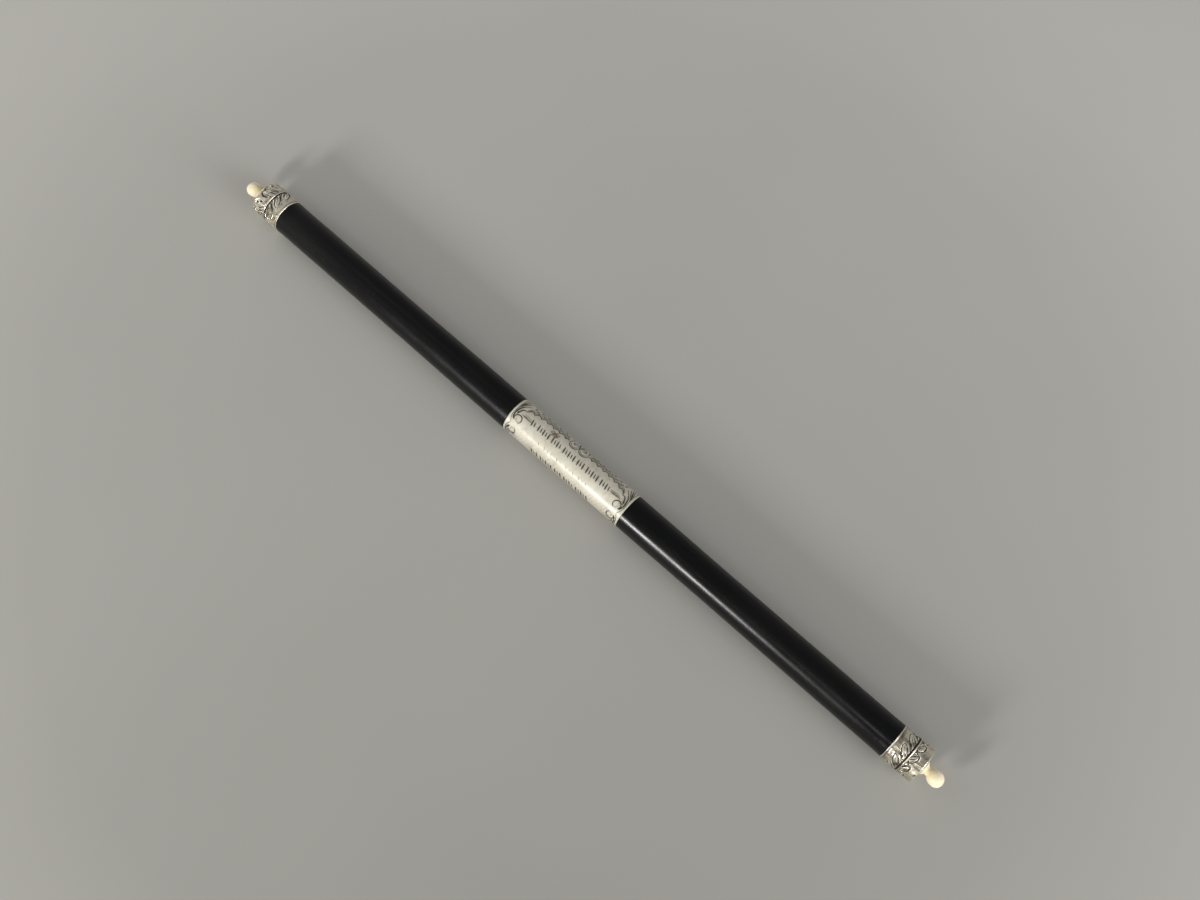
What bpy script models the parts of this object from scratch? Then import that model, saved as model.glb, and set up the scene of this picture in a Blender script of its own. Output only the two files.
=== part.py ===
"""Conductor's presentation baton, lying loose on a table.

An ebony rod carries an engraved silver sleeve at its middle.  At each end a
silver ferrule and a silver end cap, both chased with a laurel garland, stand
on either side of a thin dark ring, and a turned ivory finial closes the end.
Units are metres, +Z is up.  The baton's axis runs along X and the origin is
under its middle, on the surface that it lies on.
"""

import math

import bmesh
import bpy
import numpy as np

MM = 0.001

# Clearance between pieces that touch in the real baton
FIT_GAP = 0.3 * MM

# Ebony rod, each exposed half measured from the sleeve to the ferrule
EXPOSED_LENGTH = 159.6 * MM
ROD_WAIST_RADIUS = 8.9 * MM
ROD_SLEEVE_SWELL = 0.15 * MM
ROD_SWELL_LENGTH = 62.0 * MM
ROD_FERRULE_FLARE = 0.1 * MM
ROD_FLARE_LENGTH = 6.0 * MM
ROD_SIDES = 32
SWELL_STEPS = (0.5, 1.0)

# Silver sleeve at the middle
SLEEVE_LENGTH = 73.6 * MM
SLEEVE_PROUD = 0.15 * MM
SLEEVE_WALL = 0.6 * MM
SLEEVE_EDGE = 0.15 * MM
SLEEVE_SIDES = 44

# Flat on the underside, so that the baton doesn't roll
FLAT_DEPTH = 0.1 * MM

# Silver mounts at the two ends: a ferrule and an end cap of the same sheet
MOUNT_PROUD = 0.1 * MM
MOUNT_WALL = 0.6 * MM

# Silver ferrules
FERRULE_LENGTH = 8.3 * MM
FERRULE_LIP = 0.75 * MM
FERRULE_LEAF_LENGTH = 4.6 * MM
FERRULE_LEAF_SWEEP = 31.0

# Dark rings between the ferrules and the end caps
RING_WIDTH = 0.75 * MM
RING_PROUD = 0.12 * MM
RING_SIDES = 26

# Silver end caps
CAP_LENGTH = 7.8 * MM
CAP_LIP = 0.7 * MM
CAP_EDGE_RADIUS = 0.3 * MM
CAP_EDGE_ANGLES = (0.0, 40.0, 80.0)
CAP_DOME_RISE = 0.85 * MM
CAP_LEAF_LENGTH = 3.3 * MM
CAP_LEAF_SWEEP = 22.0

# Chased laurel leaves, shared by the ferrules and the end caps
LEAF_COUNT = 9
LEAF_SINK = 0.2 * MM
LEAF_RISE = 0.14 * MM
LEAF_SLOPE = 0.16 * MM
LEAF_BASE_WIDTH = 4.6 * MM
LEAF_TIP_SHARE = 0.04
LEAF_FULLNESS = 0.6
LEAF_STEPS = (1.0, 0.8, 0.45, 0.0)
RIGHT_GARLAND_TURN = 2.0
LEFT_GARLAND_TURN = -18.0

# Turned ivory finials, measured from the base of the foot
FOOT_RADIUS = 3.8 * MM
FOOT_RIM = 0.45 * MM
NECK_RADIUS = 2.1 * MM
NECK_AT = 2.2 * MM
BALL_RADIUS = 3.85 * MM
BALL_BACK = 4.7 * MM
BALL_AT = 6.75 * MM
FLARE_STEPS = (0.3, 0.65, 1.0)
BALL_STEPS = 6
FINIAL_SIDES = 18
LAND_MARGIN = 0.35 * MM

# Engraving on the sleeve, laid out round a cartouche that faces the front
CARTOUCHE_TURN = 43.5
ENGRAVE_DEPTH = 0.22 * MM
LINE_WIDTH = 0.42 * MM
BORDER_OFFSET = 12.0 * MM
SCALLOP_START = 8.5 * MM
SCALLOP_COUNT = 6
SCALLOP_RISE = 1.15 * MM
SCALLOP_STEPS = (1 / 3, 2 / 3, 1.0)
CORNER_INSET = 5.9 * MM
CORNER_DROP = 2.9 * MM
CORNER_POWER = 4
VOLUTE_INSET = 5.0 * MM
VOLUTE_OFFSET = 3.35 * MM
VOLUTE_RADIUS = 2.05 * MM
VOLUTE_TAIL = 2.35 * MM
VOLUTE_TAIL_SHARE = 0.4
VOLUTE_START_ANGLE = -62.0
VOLUTE_TURN = 385.0
VOLUTE_STEPS = 9
CREST_HALF_WIDTH = 2.75 * MM
CREST_DEPTH = 2.7 * MM
CREST_LIFT = 1.08 * MM
CREST_GAP = 0.45 * MM
CREST_STEPS = 5
ROW_OFFSET = 6.4 * MM
STROKE_HEIGHT = 2.7 * MM
STROKE_WIDTH = 0.5 * MM
STROKE_PITCH = 5.4 * MM
ROW_HALF_COUNTS = (4, 2, 3)

# Radii that follow from the rod's
ROD_SLEEVE_RADIUS = ROD_WAIST_RADIUS + ROD_SLEEVE_SWELL
ROD_FERRULE_RADIUS = ROD_WAIST_RADIUS + ROD_FERRULE_FLARE
SLEEVE_RADIUS = ROD_SLEEVE_RADIUS + SLEEVE_PROUD
SLEEVE_BORE_RADIUS = SLEEVE_RADIUS - SLEEVE_WALL
SLEEVE_SEAT_RADIUS = SLEEVE_BORE_RADIUS - FIT_GAP
MOUNT_RADIUS = ROD_FERRULE_RADIUS + MOUNT_PROUD
MOUNT_BORE_RADIUS = MOUNT_RADIUS - MOUNT_WALL
TENON_RADIUS = MOUNT_BORE_RADIUS - FIT_GAP
RING_RADIUS = ROD_FERRULE_RADIUS + RING_PROUD
LAND_RADIUS = FOOT_RADIUS + LAND_MARGIN
AXIS_HEIGHT = SLEEVE_RADIUS - FLAT_DEPTH

# Places along the axis that follow from the lengths
SLEEVE_END = SLEEVE_LENGTH / 2
SHOULDER = SLEEVE_END + EXPOSED_LENGTH
FERRULE_START = SHOULDER
FERRULE_END = FERRULE_START + FERRULE_LENGTH
RING_START = FERRULE_END
RING_END = RING_START + RING_WIDTH
CAP_START = RING_END
CAP_EDGE = CAP_START + CAP_LENGTH
CAP_LAND = CAP_EDGE + CAP_DOME_RISE
FOOT_BASE = CAP_LAND + FIT_GAP
SCALLOP_PITCH = (SLEEVE_END - CORNER_INSET - SCALLOP_START) / SCALLOP_COUNT

# Columns round a leaf: ground, edge, midrib, edge, ground
LEAF_COLUMNS = 5
BAND_SIDES = LEAF_COUNT * LEAF_COLUMNS
BAND_STEP = 360.0 / BAND_SIDES


def clear_scene():
    """Remove every object that the file opened with."""
    for existing in list(bpy.data.objects):
        bpy.data.objects.remove(existing, do_unlink=True)


def make_material(name, colour, roughness, metallic):
    """Return a Principled material."""
    material = bpy.data.materials.new(name)
    material.use_nodes = True
    shader = material.node_tree.nodes["Principled BSDF"]
    shader.inputs["Base Color"].default_value = (*colour, 1.0)
    shader.inputs["Roughness"].default_value = roughness
    shader.inputs["Metallic"].default_value = metallic
    return material


def around(x, radius, degrees):
    """Point at a radius and an angle from the top, turning towards the front.

    The underside flat limits the radius of what faces down.
    """
    angle = math.radians(degrees)
    down = -math.cos(angle)
    if radius * down > AXIS_HEIGHT:
        radius = AXIS_HEIGHT / down
    return (x, -radius * math.sin(angle), AXIS_HEIGHT + radius * math.cos(angle))


def add_object(name, bm, material, sharp_degrees=35.0):
    """Turn a bmesh into a named object, shaded smooth except at its edges."""
    bmesh.ops.recalc_face_normals(bm, faces=bm.faces[:])
    mesh = bpy.data.meshes.new(name)
    bm.to_mesh(mesh)
    bm.free()
    mesh.materials.append(material)
    mesh.shade_smooth()
    mesh.set_sharp_from_angle(angle=math.radians(sharp_degrees))
    piece = bpy.data.objects.new(name, mesh)
    bpy.context.scene.collection.objects.link(piece)
    return piece


def even_angles(count):
    """Evenly spaced angles with one at the very bottom."""
    return [180.0 + 360.0 * k / count for k in range(count)]


def angles_past_flat(count, radius):
    """Angles from one edge of the underside flat, round the top, to the other."""
    edge = math.degrees(math.acos(min(AXIS_HEIGHT / radius, 1.0)))
    turn = 360.0 - 2.0 * edge
    return [180.0 + edge + turn * k / (count - 1) for k in range(count)]


def add_ring(bm, x, radius, angles):
    """Add one ring of vertices at the same place along the axis."""
    return [bm.verts.new(around(x, radius, a)) for a in angles]


def bridge(bm, ring_a, ring_b):
    """Join two rings of equal count with quads."""
    count = len(ring_a)
    for k in range(count):
        n = (k + 1) % count
        bm.faces.new((ring_a[k], ring_a[n], ring_b[n], ring_b[k]))


def close_pole(bm, ring, x):
    """Close a ring with a fan to a point on the axis."""
    pole = bm.verts.new((x, 0.0, AXIS_HEIGHT))
    count = len(ring)
    for k in range(count):
        bm.faces.new((ring[k], ring[(k + 1) % count], pole))


def turned_solid(name, profile, start, end, sides, material):
    """A solid turned about the axis, closed at both ends on the axis."""
    bm = bmesh.new()
    angles = even_angles(sides)
    rings = [add_ring(bm, x, r, angles) for x, r in profile]
    for ring_a, ring_b in zip(rings, rings[1:]):
        bridge(bm, ring_a, ring_b)
    close_pole(bm, rings[0], start)
    close_pole(bm, rings[-1], end)
    return add_object(name, bm, material)


def turned_tube(name, profile, angles, material):
    """A tube turned about the axis; its profile is a closed loop."""
    bm = bmesh.new()
    rings = [add_ring(bm, x, r, angles) for x, r in profile]
    for ring_a, ring_b in zip(rings, rings[1:] + rings[:1]):
        bridge(bm, ring_a, ring_b)
    return add_object(name, bm, material)


def turn_end_for_end(piece):
    """Turn a piece of the right end round the upright axis to the left end."""
    piece.rotation_euler = (0.0, 0.0, math.pi)


def ease(t):
    """Smooth step from 0 to 1."""
    return t * t * (3.0 - 2.0 * t)


def dome_profile(edge_x, radius, edge_round, land_x, land_radius):
    """Profile of a domed end: a rounded edge, then a low curve up to a land."""
    points = []
    for degrees in CAP_EDGE_ANGLES:
        a = math.radians(degrees)
        x = edge_x - edge_round + edge_round * math.sin(a)
        points.append((x, radius - edge_round + edge_round * math.cos(a)))
    points.append((land_x, land_radius))
    return points


def build_rod(material):
    """Ebony rod: waisted halves, a recess for the sleeve, a tenon at each end."""
    half = [(SLEEVE_END + FIT_GAP, SLEEVE_SEAT_RADIUS)]
    half.append((SLEEVE_END + FIT_GAP, ROD_SLEEVE_RADIUS))
    for t in SWELL_STEPS:
        r = ROD_SLEEVE_RADIUS - ROD_SLEEVE_SWELL * ease(t)
        half.append((SLEEVE_END + FIT_GAP + ROD_SWELL_LENGTH * t, r))
    half.append((SHOULDER - FIT_GAP - ROD_FLARE_LENGTH, ROD_WAIST_RADIUS))
    half.append((SHOULDER - FIT_GAP, ROD_FERRULE_RADIUS))
    half.append((SHOULDER - FIT_GAP, TENON_RADIUS))
    tenon_end = CAP_EDGE - MOUNT_WALL - FIT_GAP
    half.append((tenon_end - CAP_EDGE_RADIUS, TENON_RADIUS))
    half.append((tenon_end, TENON_RADIUS - CAP_EDGE_RADIUS))
    profile = [(-x, r) for x, r in reversed(half)] + half
    tip = CAP_LAND - MOUNT_WALL - FIT_GAP
    return turned_solid("rod", profile, -tip, tip, ROD_SIDES, material)


def build_ring(side, material):
    """Thin dark ring that fills the joint between ferrule and end cap."""
    x0 = RING_START + FIT_GAP / 2
    x1 = RING_END - FIT_GAP / 2
    middle = (x0 + x1) / 2
    profile = [(x0, MOUNT_BORE_RADIUS), (x0, RING_RADIUS - RING_PROUD)]
    profile += [(middle, RING_RADIUS)]
    profile += [(x1, RING_RADIUS - RING_PROUD), (x1, MOUNT_BORE_RADIUS)]
    angles = even_angles(RING_SIDES)
    return turned_tube("joint_ring_" + side, profile, angles, material)


def leaf_half_width(v):
    """Half the width of a leaf, v from 0 at its base to 1 at its tip."""
    taper = max(math.cos(v * math.pi / 2), 0.0) ** LEAF_FULLNESS
    return LEAF_BASE_WIDTH / 2 * (LEAF_TIP_SHARE + (1.0 - LEAF_TIP_SHARE) * taper)


def nearest_column(degrees):
    """Number of the even column that lies nearest to an angle."""
    return round((degrees - 180.0) / BAND_STEP)


def even_row(bm, x, radius, first_column):
    """Row of evenly spaced vertices, numbered from a column of the band."""
    angles = [180.0 + BAND_STEP * (first_column + k) for k in range(BAND_SIDES)]
    return add_ring(bm, x, radius, angles)


def leaf_row(bm, x, v, radius, base_angle, sweep):
    """Row that crosses every leaf: ground, edge, midrib, edge, ground."""
    half = leaf_half_width(v)
    ground = radius - LEAF_SINK
    crown = radius + LEAF_RISE * (1.0 - v * v)
    section = (
        (-half - LEAF_SLOPE, ground),
        (-half, radius),
        (0.0, crown),
        (half, radius),
        (half + LEAF_SLOPE, ground),
    )
    row = []
    for leaf in range(LEAF_COUNT):
        middle = base_angle - sweep * v + 360.0 * leaf / LEAF_COUNT
        for offset, r in section:
            angle = middle + math.degrees(offset / radius)
            row.append(bm.verts.new(around(x, r, angle)))
    return row


def rolled(row, shift):
    """The same row of vertices, counted from another column."""
    shift %= len(row)
    return row[shift:] + row[:shift]


def garland_columns(tip_angle, sweep):
    """Angle of the first leaf's base, and the even columns at base and tip."""
    base_angle = tip_angle + sweep
    half_leaf = LEAF_COLUMNS // 2
    at_base = nearest_column(base_angle) - half_leaf
    at_tip = nearest_column(tip_angle) - half_leaf
    return base_angle, at_base, at_tip


def build_ferrule(side, turn, material):
    """Silver ferrule: lip at the wood, leaves that grow from the joint ring."""
    bm = bmesh.new()
    r = MOUNT_RADIUS
    sweep = FERRULE_LEAF_SWEEP
    base_angle, at_base, at_tip = garland_columns(turn, sweep)
    leaf_base = FERRULE_END - LEAF_SLOPE - LEAF_SINK
    lip_end = FERRULE_START + FERRULE_LIP
    outer = [even_row(bm, FERRULE_START, r, at_tip)]
    outer.append(even_row(bm, lip_end, r, at_tip))
    outer.append(even_row(bm, lip_end + LEAF_SLOPE, r - LEAF_SINK, at_tip))
    for v in LEAF_STEPS:
        x = leaf_base - FERRULE_LEAF_LENGTH * v
        outer.append(leaf_row(bm, x, v, r, base_angle, sweep))
    outer.append(even_row(bm, FERRULE_END - LEAF_SINK, r, at_base))
    outer.append(even_row(bm, FERRULE_END, r, at_base))
    near = even_row(bm, FERRULE_START, MOUNT_BORE_RADIUS, at_tip)
    far = even_row(bm, FERRULE_END, MOUNT_BORE_RADIUS, at_tip)
    for row_a, row_b in zip(outer, outer[1:]):
        bridge(bm, row_a, row_b)
    bridge(bm, outer[-1], rolled(far, at_base - at_tip))
    bridge(bm, far, near)
    bridge(bm, near, outer[0])
    return add_object("ferrule_" + side, bm, material)


def build_end_cap(side, turn, material):
    """Silver end cap: a cup with a lip, leaves, a plain rim and a low dome."""
    bm = bmesh.new()
    r = MOUNT_RADIUS
    sweep = CAP_LEAF_SWEEP
    base_angle, at_base, at_tip = garland_columns(turn, sweep)
    lip_end = CAP_START + CAP_LIP
    leaf_base = lip_end + LEAF_SLOPE
    leaf_tip = leaf_base + CAP_LEAF_LENGTH
    outer = [even_row(bm, CAP_START, r, at_base)]
    outer.append(even_row(bm, lip_end, r, at_base))
    for v in reversed(LEAF_STEPS):
        x = leaf_base + CAP_LEAF_LENGTH * v
        outer.append(leaf_row(bm, x, v, r, base_angle, sweep))
    outer.append(even_row(bm, leaf_tip + LEAF_SINK + LEAF_SLOPE, r, at_tip))
    dome = dome_profile(CAP_EDGE, r, CAP_EDGE_RADIUS, CAP_LAND, LAND_RADIUS)
    for x, radius in dome:
        outer.append(even_row(bm, x, radius, at_tip))
    for row_a, row_b in zip(outer, outer[1:]):
        bridge(bm, row_a, row_b)
    close_pole(bm, outer[-1], CAP_LAND)
    bore = MOUNT_BORE_RADIUS
    floor = CAP_EDGE - MOUNT_WALL
    mouth = even_row(bm, CAP_START, bore, at_base)
    wall_end = even_row(bm, floor - CAP_EDGE_RADIUS, bore, at_base)
    corner = even_row(bm, floor, bore - CAP_EDGE_RADIUS, at_base)
    bridge(bm, outer[0], mouth)
    bridge(bm, mouth, wall_end)
    bridge(bm, wall_end, corner)
    close_pole(bm, corner, CAP_LAND - MOUNT_WALL)
    return add_object("end_cap_" + side, bm, material)


def build_finial(side, material):
    """Turned ivory finial: foot, hollow flare, neck and a ball that is egg-shaped behind."""
    profile = [(FOOT_BASE, FOOT_RADIUS), (FOOT_BASE + FOOT_RIM, FOOT_RADIUS)]
    for t in FLARE_STEPS:
        x = FOOT_BASE + FOOT_RIM + (NECK_AT - FOOT_RIM) * t
        flare = 1.0 - math.sin(t * math.pi / 2)
        profile.append((x, NECK_RADIUS + (FOOT_RADIUS - NECK_RADIUS) * flare))
    centre = FOOT_BASE + BALL_AT
    meeting = math.asin(min(NECK_RADIUS / BALL_RADIUS, 1.0))
    for k in range(BALL_STEPS):
        a = meeting + (math.pi - meeting) * k / BALL_STEPS
        reach = BALL_BACK if a < math.pi / 2 else BALL_RADIUS
        profile.append((centre - reach * math.cos(a), BALL_RADIUS * math.sin(a)))
    tip = centre + BALL_RADIUS
    name = "finial_" + side
    return turned_solid(name, profile, FOOT_BASE, tip, FINIAL_SIDES, material)


def on_sleeve(x, s, radius):
    """Point on the sleeve, s being the arc length from the cartouche's middle."""
    return around(x, radius, CARTOUCHE_TURN + math.degrees(s / SLEEVE_RADIUS))


def add_groove(bm, path, width=LINE_WIDTH):
    """Add a closed ribbon that cuts a groove along a path on the sleeve."""
    low = SLEEVE_RADIUS - ENGRAVE_DEPTH
    high = SLEEVE_RADIUS + ENGRAVE_DEPTH
    points = np.array(path)
    along = np.gradient(points, axis=0)
    along /= np.linalg.norm(along, axis=1)[:, None]
    across = np.stack([-along[:, 1], along[:, 0]], axis=1) * width / 2
    sections = []
    for (x, s), (dx, ds) in zip(points, across):
        corners = ((1, low), (1, high), (-1, high), (-1, low))
        section = [on_sleeve(x + k * dx, s + k * ds, r) for k, r in corners]
        sections.append([bm.verts.new(p) for p in section])
    for section_a, section_b in zip(sections, sections[1:]):
        bridge(bm, section_a, section_b)
    bm.faces.new(sections[0])
    bm.faces.new(reversed(sections[-1]))


def scallop_path():
    """Half of the scalloped border, from the crest to the corner."""
    crest_end = CREST_GAP / 2 + 2 * CREST_HALF_WIDTH + LINE_WIDTH
    cusps = [(crest_end, BORDER_OFFSET + SCALLOP_RISE / 2)]
    for k in range(SCALLOP_COUNT + 1):
        drop = CORNER_DROP * (k / SCALLOP_COUNT) ** CORNER_POWER
        x = SCALLOP_START + SCALLOP_PITCH * k
        cusps.append((x, BORDER_OFFSET - drop))
    points = [cusps[0]]
    for (xa, sa), (xb, sb) in zip(cusps, cusps[1:]):
        rise = SCALLOP_RISE * (xb - xa) / SCALLOP_PITCH
        for u in SCALLOP_STEPS:
            x = xa + (xb - xa) * u
            points.append((x, sa + (sb - sa) * u + rise * math.sin(math.pi * u)))
    return [(x, -s) for x, s in points]


def volute_path():
    """Scroll that follows the sleeve's end and winds round a button."""
    cx = SLEEVE_END - VOLUTE_INSET
    path = []
    for k in range(VOLUTE_STEPS + 1):
        u = k / VOLUTE_STEPS
        a = math.radians(VOLUTE_START_ANGLE + VOLUTE_TURN * u)
        r = VOLUTE_RADIUS + VOLUTE_TAIL * (1.0 - min(u / VOLUTE_TAIL_SHARE, 1.0)) ** 2
        path.append((cx + r * math.cos(a), -VOLUTE_OFFSET + r * math.sin(a)))
    return path


def crest_path():
    """One of the two hanging scrolls at the middle of the border."""
    cx = CREST_GAP / 2 + CREST_HALF_WIDTH
    top = -(BORDER_OFFSET + CREST_LIFT)
    path = []
    for k in range(CREST_STEPS + 1):
        a = math.pi * k / CREST_STEPS
        x = cx - CREST_HALF_WIDTH * math.cos(a)
        path.append((x, top + CREST_DEPTH * math.sin(a)))
    return path


def inscription_paths():
    """Rows of plain short strokes in the place of the inscription."""
    paths = []
    for row, half_count in enumerate(ROW_HALF_COUNTS):
        s = (row - 1) * ROW_OFFSET
        for k in range(-half_count, half_count + 1):
            x = k * STROKE_PITCH
            top = (x - STROKE_WIDTH, s - STROKE_HEIGHT / 2)
            foot = (x + STROKE_WIDTH, s + STROKE_HEIGHT / 2)
            paths.append([top, foot])
    return paths


def mirrored(path, x_sign, s_sign):
    """A path mirrored across the sleeve's middle or the cartouche's middle."""
    return [(x * x_sign, s * s_sign) for x, s in path]


def build_engraving_cutter():
    """Cutter for all the engraved lines, left out of the object itself."""
    bm = bmesh.new()
    for path in (scallop_path(), volute_path(), crest_path()):
        for x_sign in (1, -1):
            for s_sign in (1, -1):
                add_groove(bm, mirrored(path, x_sign, s_sign))
    for path in inscription_paths():
        add_groove(bm, path, STROKE_WIDTH)
    bmesh.ops.recalc_face_normals(bm, faces=bm.faces[:])
    mesh = bpy.data.meshes.new("engraving_cutter")
    bm.to_mesh(mesh)
    bm.free()
    cutter = bpy.data.objects.new("engraving_cutter", mesh)
    cutter.hide_render = True
    cutter.display_type = "WIRE"
    bpy.context.scene.collection.objects.link(cutter)
    return cutter


def build_sleeve(material):
    """Silver sleeve: a tube that lies in the rod's recess, engraved outside."""
    bore = SLEEVE_BORE_RADIUS
    edge = SLEEVE_END - SLEEVE_EDGE
    profile = [(-SLEEVE_END, bore), (-SLEEVE_END, SLEEVE_RADIUS - SLEEVE_EDGE)]
    profile += [(-edge, SLEEVE_RADIUS), (edge, SLEEVE_RADIUS)]
    profile += [(SLEEVE_END, SLEEVE_RADIUS - SLEEVE_EDGE), (SLEEVE_END, bore)]
    angles = angles_past_flat(SLEEVE_SIDES, SLEEVE_RADIUS)
    sleeve = turned_tube("sleeve", profile, angles, material)
    cut = sleeve.modifiers.new("engraving", "BOOLEAN")
    cut.operation = "DIFFERENCE"
    cut.solver = "EXACT"
    cut.object = build_engraving_cutter()
    return sleeve


def build_baton():
    """Build every piece of the baton."""
    ebony = make_material("ebony", (0.012, 0.012, 0.014), 0.35, 0.0)
    dark = make_material("dark_ring", (0.02, 0.014, 0.01), 0.5, 0.0)
    silver = make_material("silver", (0.78, 0.75, 0.68), 0.25, 1.0)
    ivory = make_material("ivory", (0.88, 0.80, 0.62), 0.35, 0.0)
    build_rod(ebony)
    build_sleeve(silver)
    turns = {"left": LEFT_GARLAND_TURN, "right": RIGHT_GARLAND_TURN}
    for side, turn in turns.items():
        pieces = [build_ferrule(side, turn, silver)]
        pieces.append(build_ring(side, dark))
        pieces.append(build_end_cap(side, turn, silver))
        pieces.append(build_finial(side, ivory))
        if side == "left":
            for piece in pieces:
                turn_end_for_end(piece)


clear_scene()
build_baton()
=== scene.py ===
"""Looks of a conductor's presentation baton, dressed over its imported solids.

Each piece is a surface worked out on a grid of rows along the baton and columns
round it.  An angle round the baton is measured from the top and turns towards
the front, so a point stands at y = -r sin(angle), z = axis height + r cos(angle).
Every piece of the left end is worked out as on the right end and then turned
half round the upright axis.  Sizes in the classes are millimetres unless they
say otherwise, and meshes are metres.
"""

import logging
import math
from dataclasses import dataclass, field
from enum import Enum

import bpy
import numpy as np
from mathutils import Matrix, Vector


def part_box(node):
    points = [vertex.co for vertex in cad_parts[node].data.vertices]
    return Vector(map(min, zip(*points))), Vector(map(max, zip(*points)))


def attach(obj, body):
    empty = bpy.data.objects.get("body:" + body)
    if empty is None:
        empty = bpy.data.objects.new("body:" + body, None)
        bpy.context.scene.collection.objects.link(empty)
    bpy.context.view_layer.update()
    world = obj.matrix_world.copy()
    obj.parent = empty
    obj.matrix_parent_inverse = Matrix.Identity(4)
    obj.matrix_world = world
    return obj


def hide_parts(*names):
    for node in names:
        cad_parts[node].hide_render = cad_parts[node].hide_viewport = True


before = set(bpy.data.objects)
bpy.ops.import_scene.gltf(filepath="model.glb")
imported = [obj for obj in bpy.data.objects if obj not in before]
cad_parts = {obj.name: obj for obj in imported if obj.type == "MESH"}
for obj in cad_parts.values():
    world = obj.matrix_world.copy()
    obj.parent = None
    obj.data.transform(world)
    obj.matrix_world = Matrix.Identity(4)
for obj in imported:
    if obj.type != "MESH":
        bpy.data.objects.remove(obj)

MM = 0.001
BODY = "root"
LOG = logging.getLogger("baton")

Array = np.ndarray
Pair = tuple[float, float]
Triple = tuple[float, float, float]
Colour = Triple
Socket = bpy.types.NodeSocket

# Half the width of a graver's cut where it runs out thin
THIN = 0.08
# A cut's half-width rises and falls as sin(way)^SWELL
SWELL = 0.7
# A cut is a V this much steeper than its width asks, so it has a narrow floor
STEEPNESS = 1.35
# How much faster than it deepens a cut on a mount turns black
BLACKENING = 1.6
# Depth of a full cut on a mount
CHASE_DEPTH = 0.17


class End(Enum):
    """End of the baton that a piece belongs to."""

    LEFT = "left"
    RIGHT = "right"


class Closing(Enum):
    """How the first and the last row of a grid are closed."""

    POLES = "poles"
    LOOP = "loop"


def ease(t: Array | float) -> Array:
    """Smooth step 3t^2 - 2t^3, with t held between 0 and 1."""
    t = np.clip(t, 0.0, 1.0)
    return t * t * (3.0 - 2.0 * t)


def bell(distance: Array | float, width: float) -> Array:
    """Bell curve exp(-(distance / width)^2)."""
    return np.exp(-((np.asarray(distance) / width) ** 2))


def nearest_turn(degrees: Array | float, pitch: float) -> Array | float:
    """Angles brought within half a pitch of zero by whole pitches, in degrees."""
    return (degrees + pitch / 2) % pitch - pitch / 2


def soften(values: Array, reach: int) -> Array:
    """Mean of a field over its neighbours, rows and columns alike.

    Args:
        values: The field.
        reach: Number of neighbours to each side.

    Returns:
        The softened field.
    """
    for axis in (0, 1):
        shifted = [np.roll(values, k, axis) for k in range(-reach, reach + 1)]
        values = sum(shifted) / len(shifted)
    return values


def curve_through(points: list[Pair], steps: int = 8) -> tuple[Array, Array]:
    """Smooth curve through a few points.

    Each stretch is a Catmull-Rom cubic of its two points and their neighbours.

    Args:
        points: The points to pass through.
        steps: Straight pieces for each stretch.

    Returns:
        The curve's two coordinates.
    """
    p = np.array([points[0], *points, points[-1]])
    t = np.linspace(0.0, 1.0, steps, endpoint=False)[:, None]
    parts = []
    for a, b, c, d in zip(p, p[1:], p[2:], p[3:]):
        bend = 2 * a - 5 * b + 4 * c - d
        twist = 3 * b - 3 * c + d - a
        parts.append(0.5 * (2 * b + (c - a) * t + bend * t**2 + twist * t**3))
    curve = np.concatenate([*parts, p[-1:]])
    return curve[:, 0], curve[:, 1]


@dataclass(frozen=True)
class Lie:
    """Where the baton lies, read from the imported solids.

    Attributes:
        height: Height of the axis over the table, in millimetres.
    """

    height: float

    @classmethod
    def from_frame(cls) -> "Lie":
        """The axis runs through the middle of the rod's box."""
        low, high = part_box("rod")
        return cls(height=(low.z + high.z) / 2 / MM)

    def points(self, x: Array, radius: Array, degrees: Array) -> Array:
        """Points of a turned surface, cut off flat where it meets the table.

        Args:
            x: Places along the axis.
            radius: Distances from the axis.
            degrees: Angles from the top, towards the front.

        Returns:
            Points (x, -r sin a, height + r cos a), none below the table.
        """
        angle = np.radians(degrees)
        y = -radius * np.sin(angle)
        z = np.maximum(self.height + radius * np.cos(angle), 0.0)
        return np.stack(np.broadcast_arrays(x, y, z), axis=-1)


@dataclass(frozen=True)
class Span:
    """Stretch of the axis that a node covers, as distances from the middle.

    Attributes:
        near: Distance of its inner end from the baton's middle.
        far: Distance of its outer end.
    """

    near: float
    far: float

    @classmethod
    def of(cls, node: str) -> "Span":
        """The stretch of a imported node.

        Args:
            node: The node's name.

        Returns:
            Its two distances, smaller first.
        """
        low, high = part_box(node)
        near, far = sorted((abs(low.x) / MM, abs(high.x) / MM))
        return cls(near, far)


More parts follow.
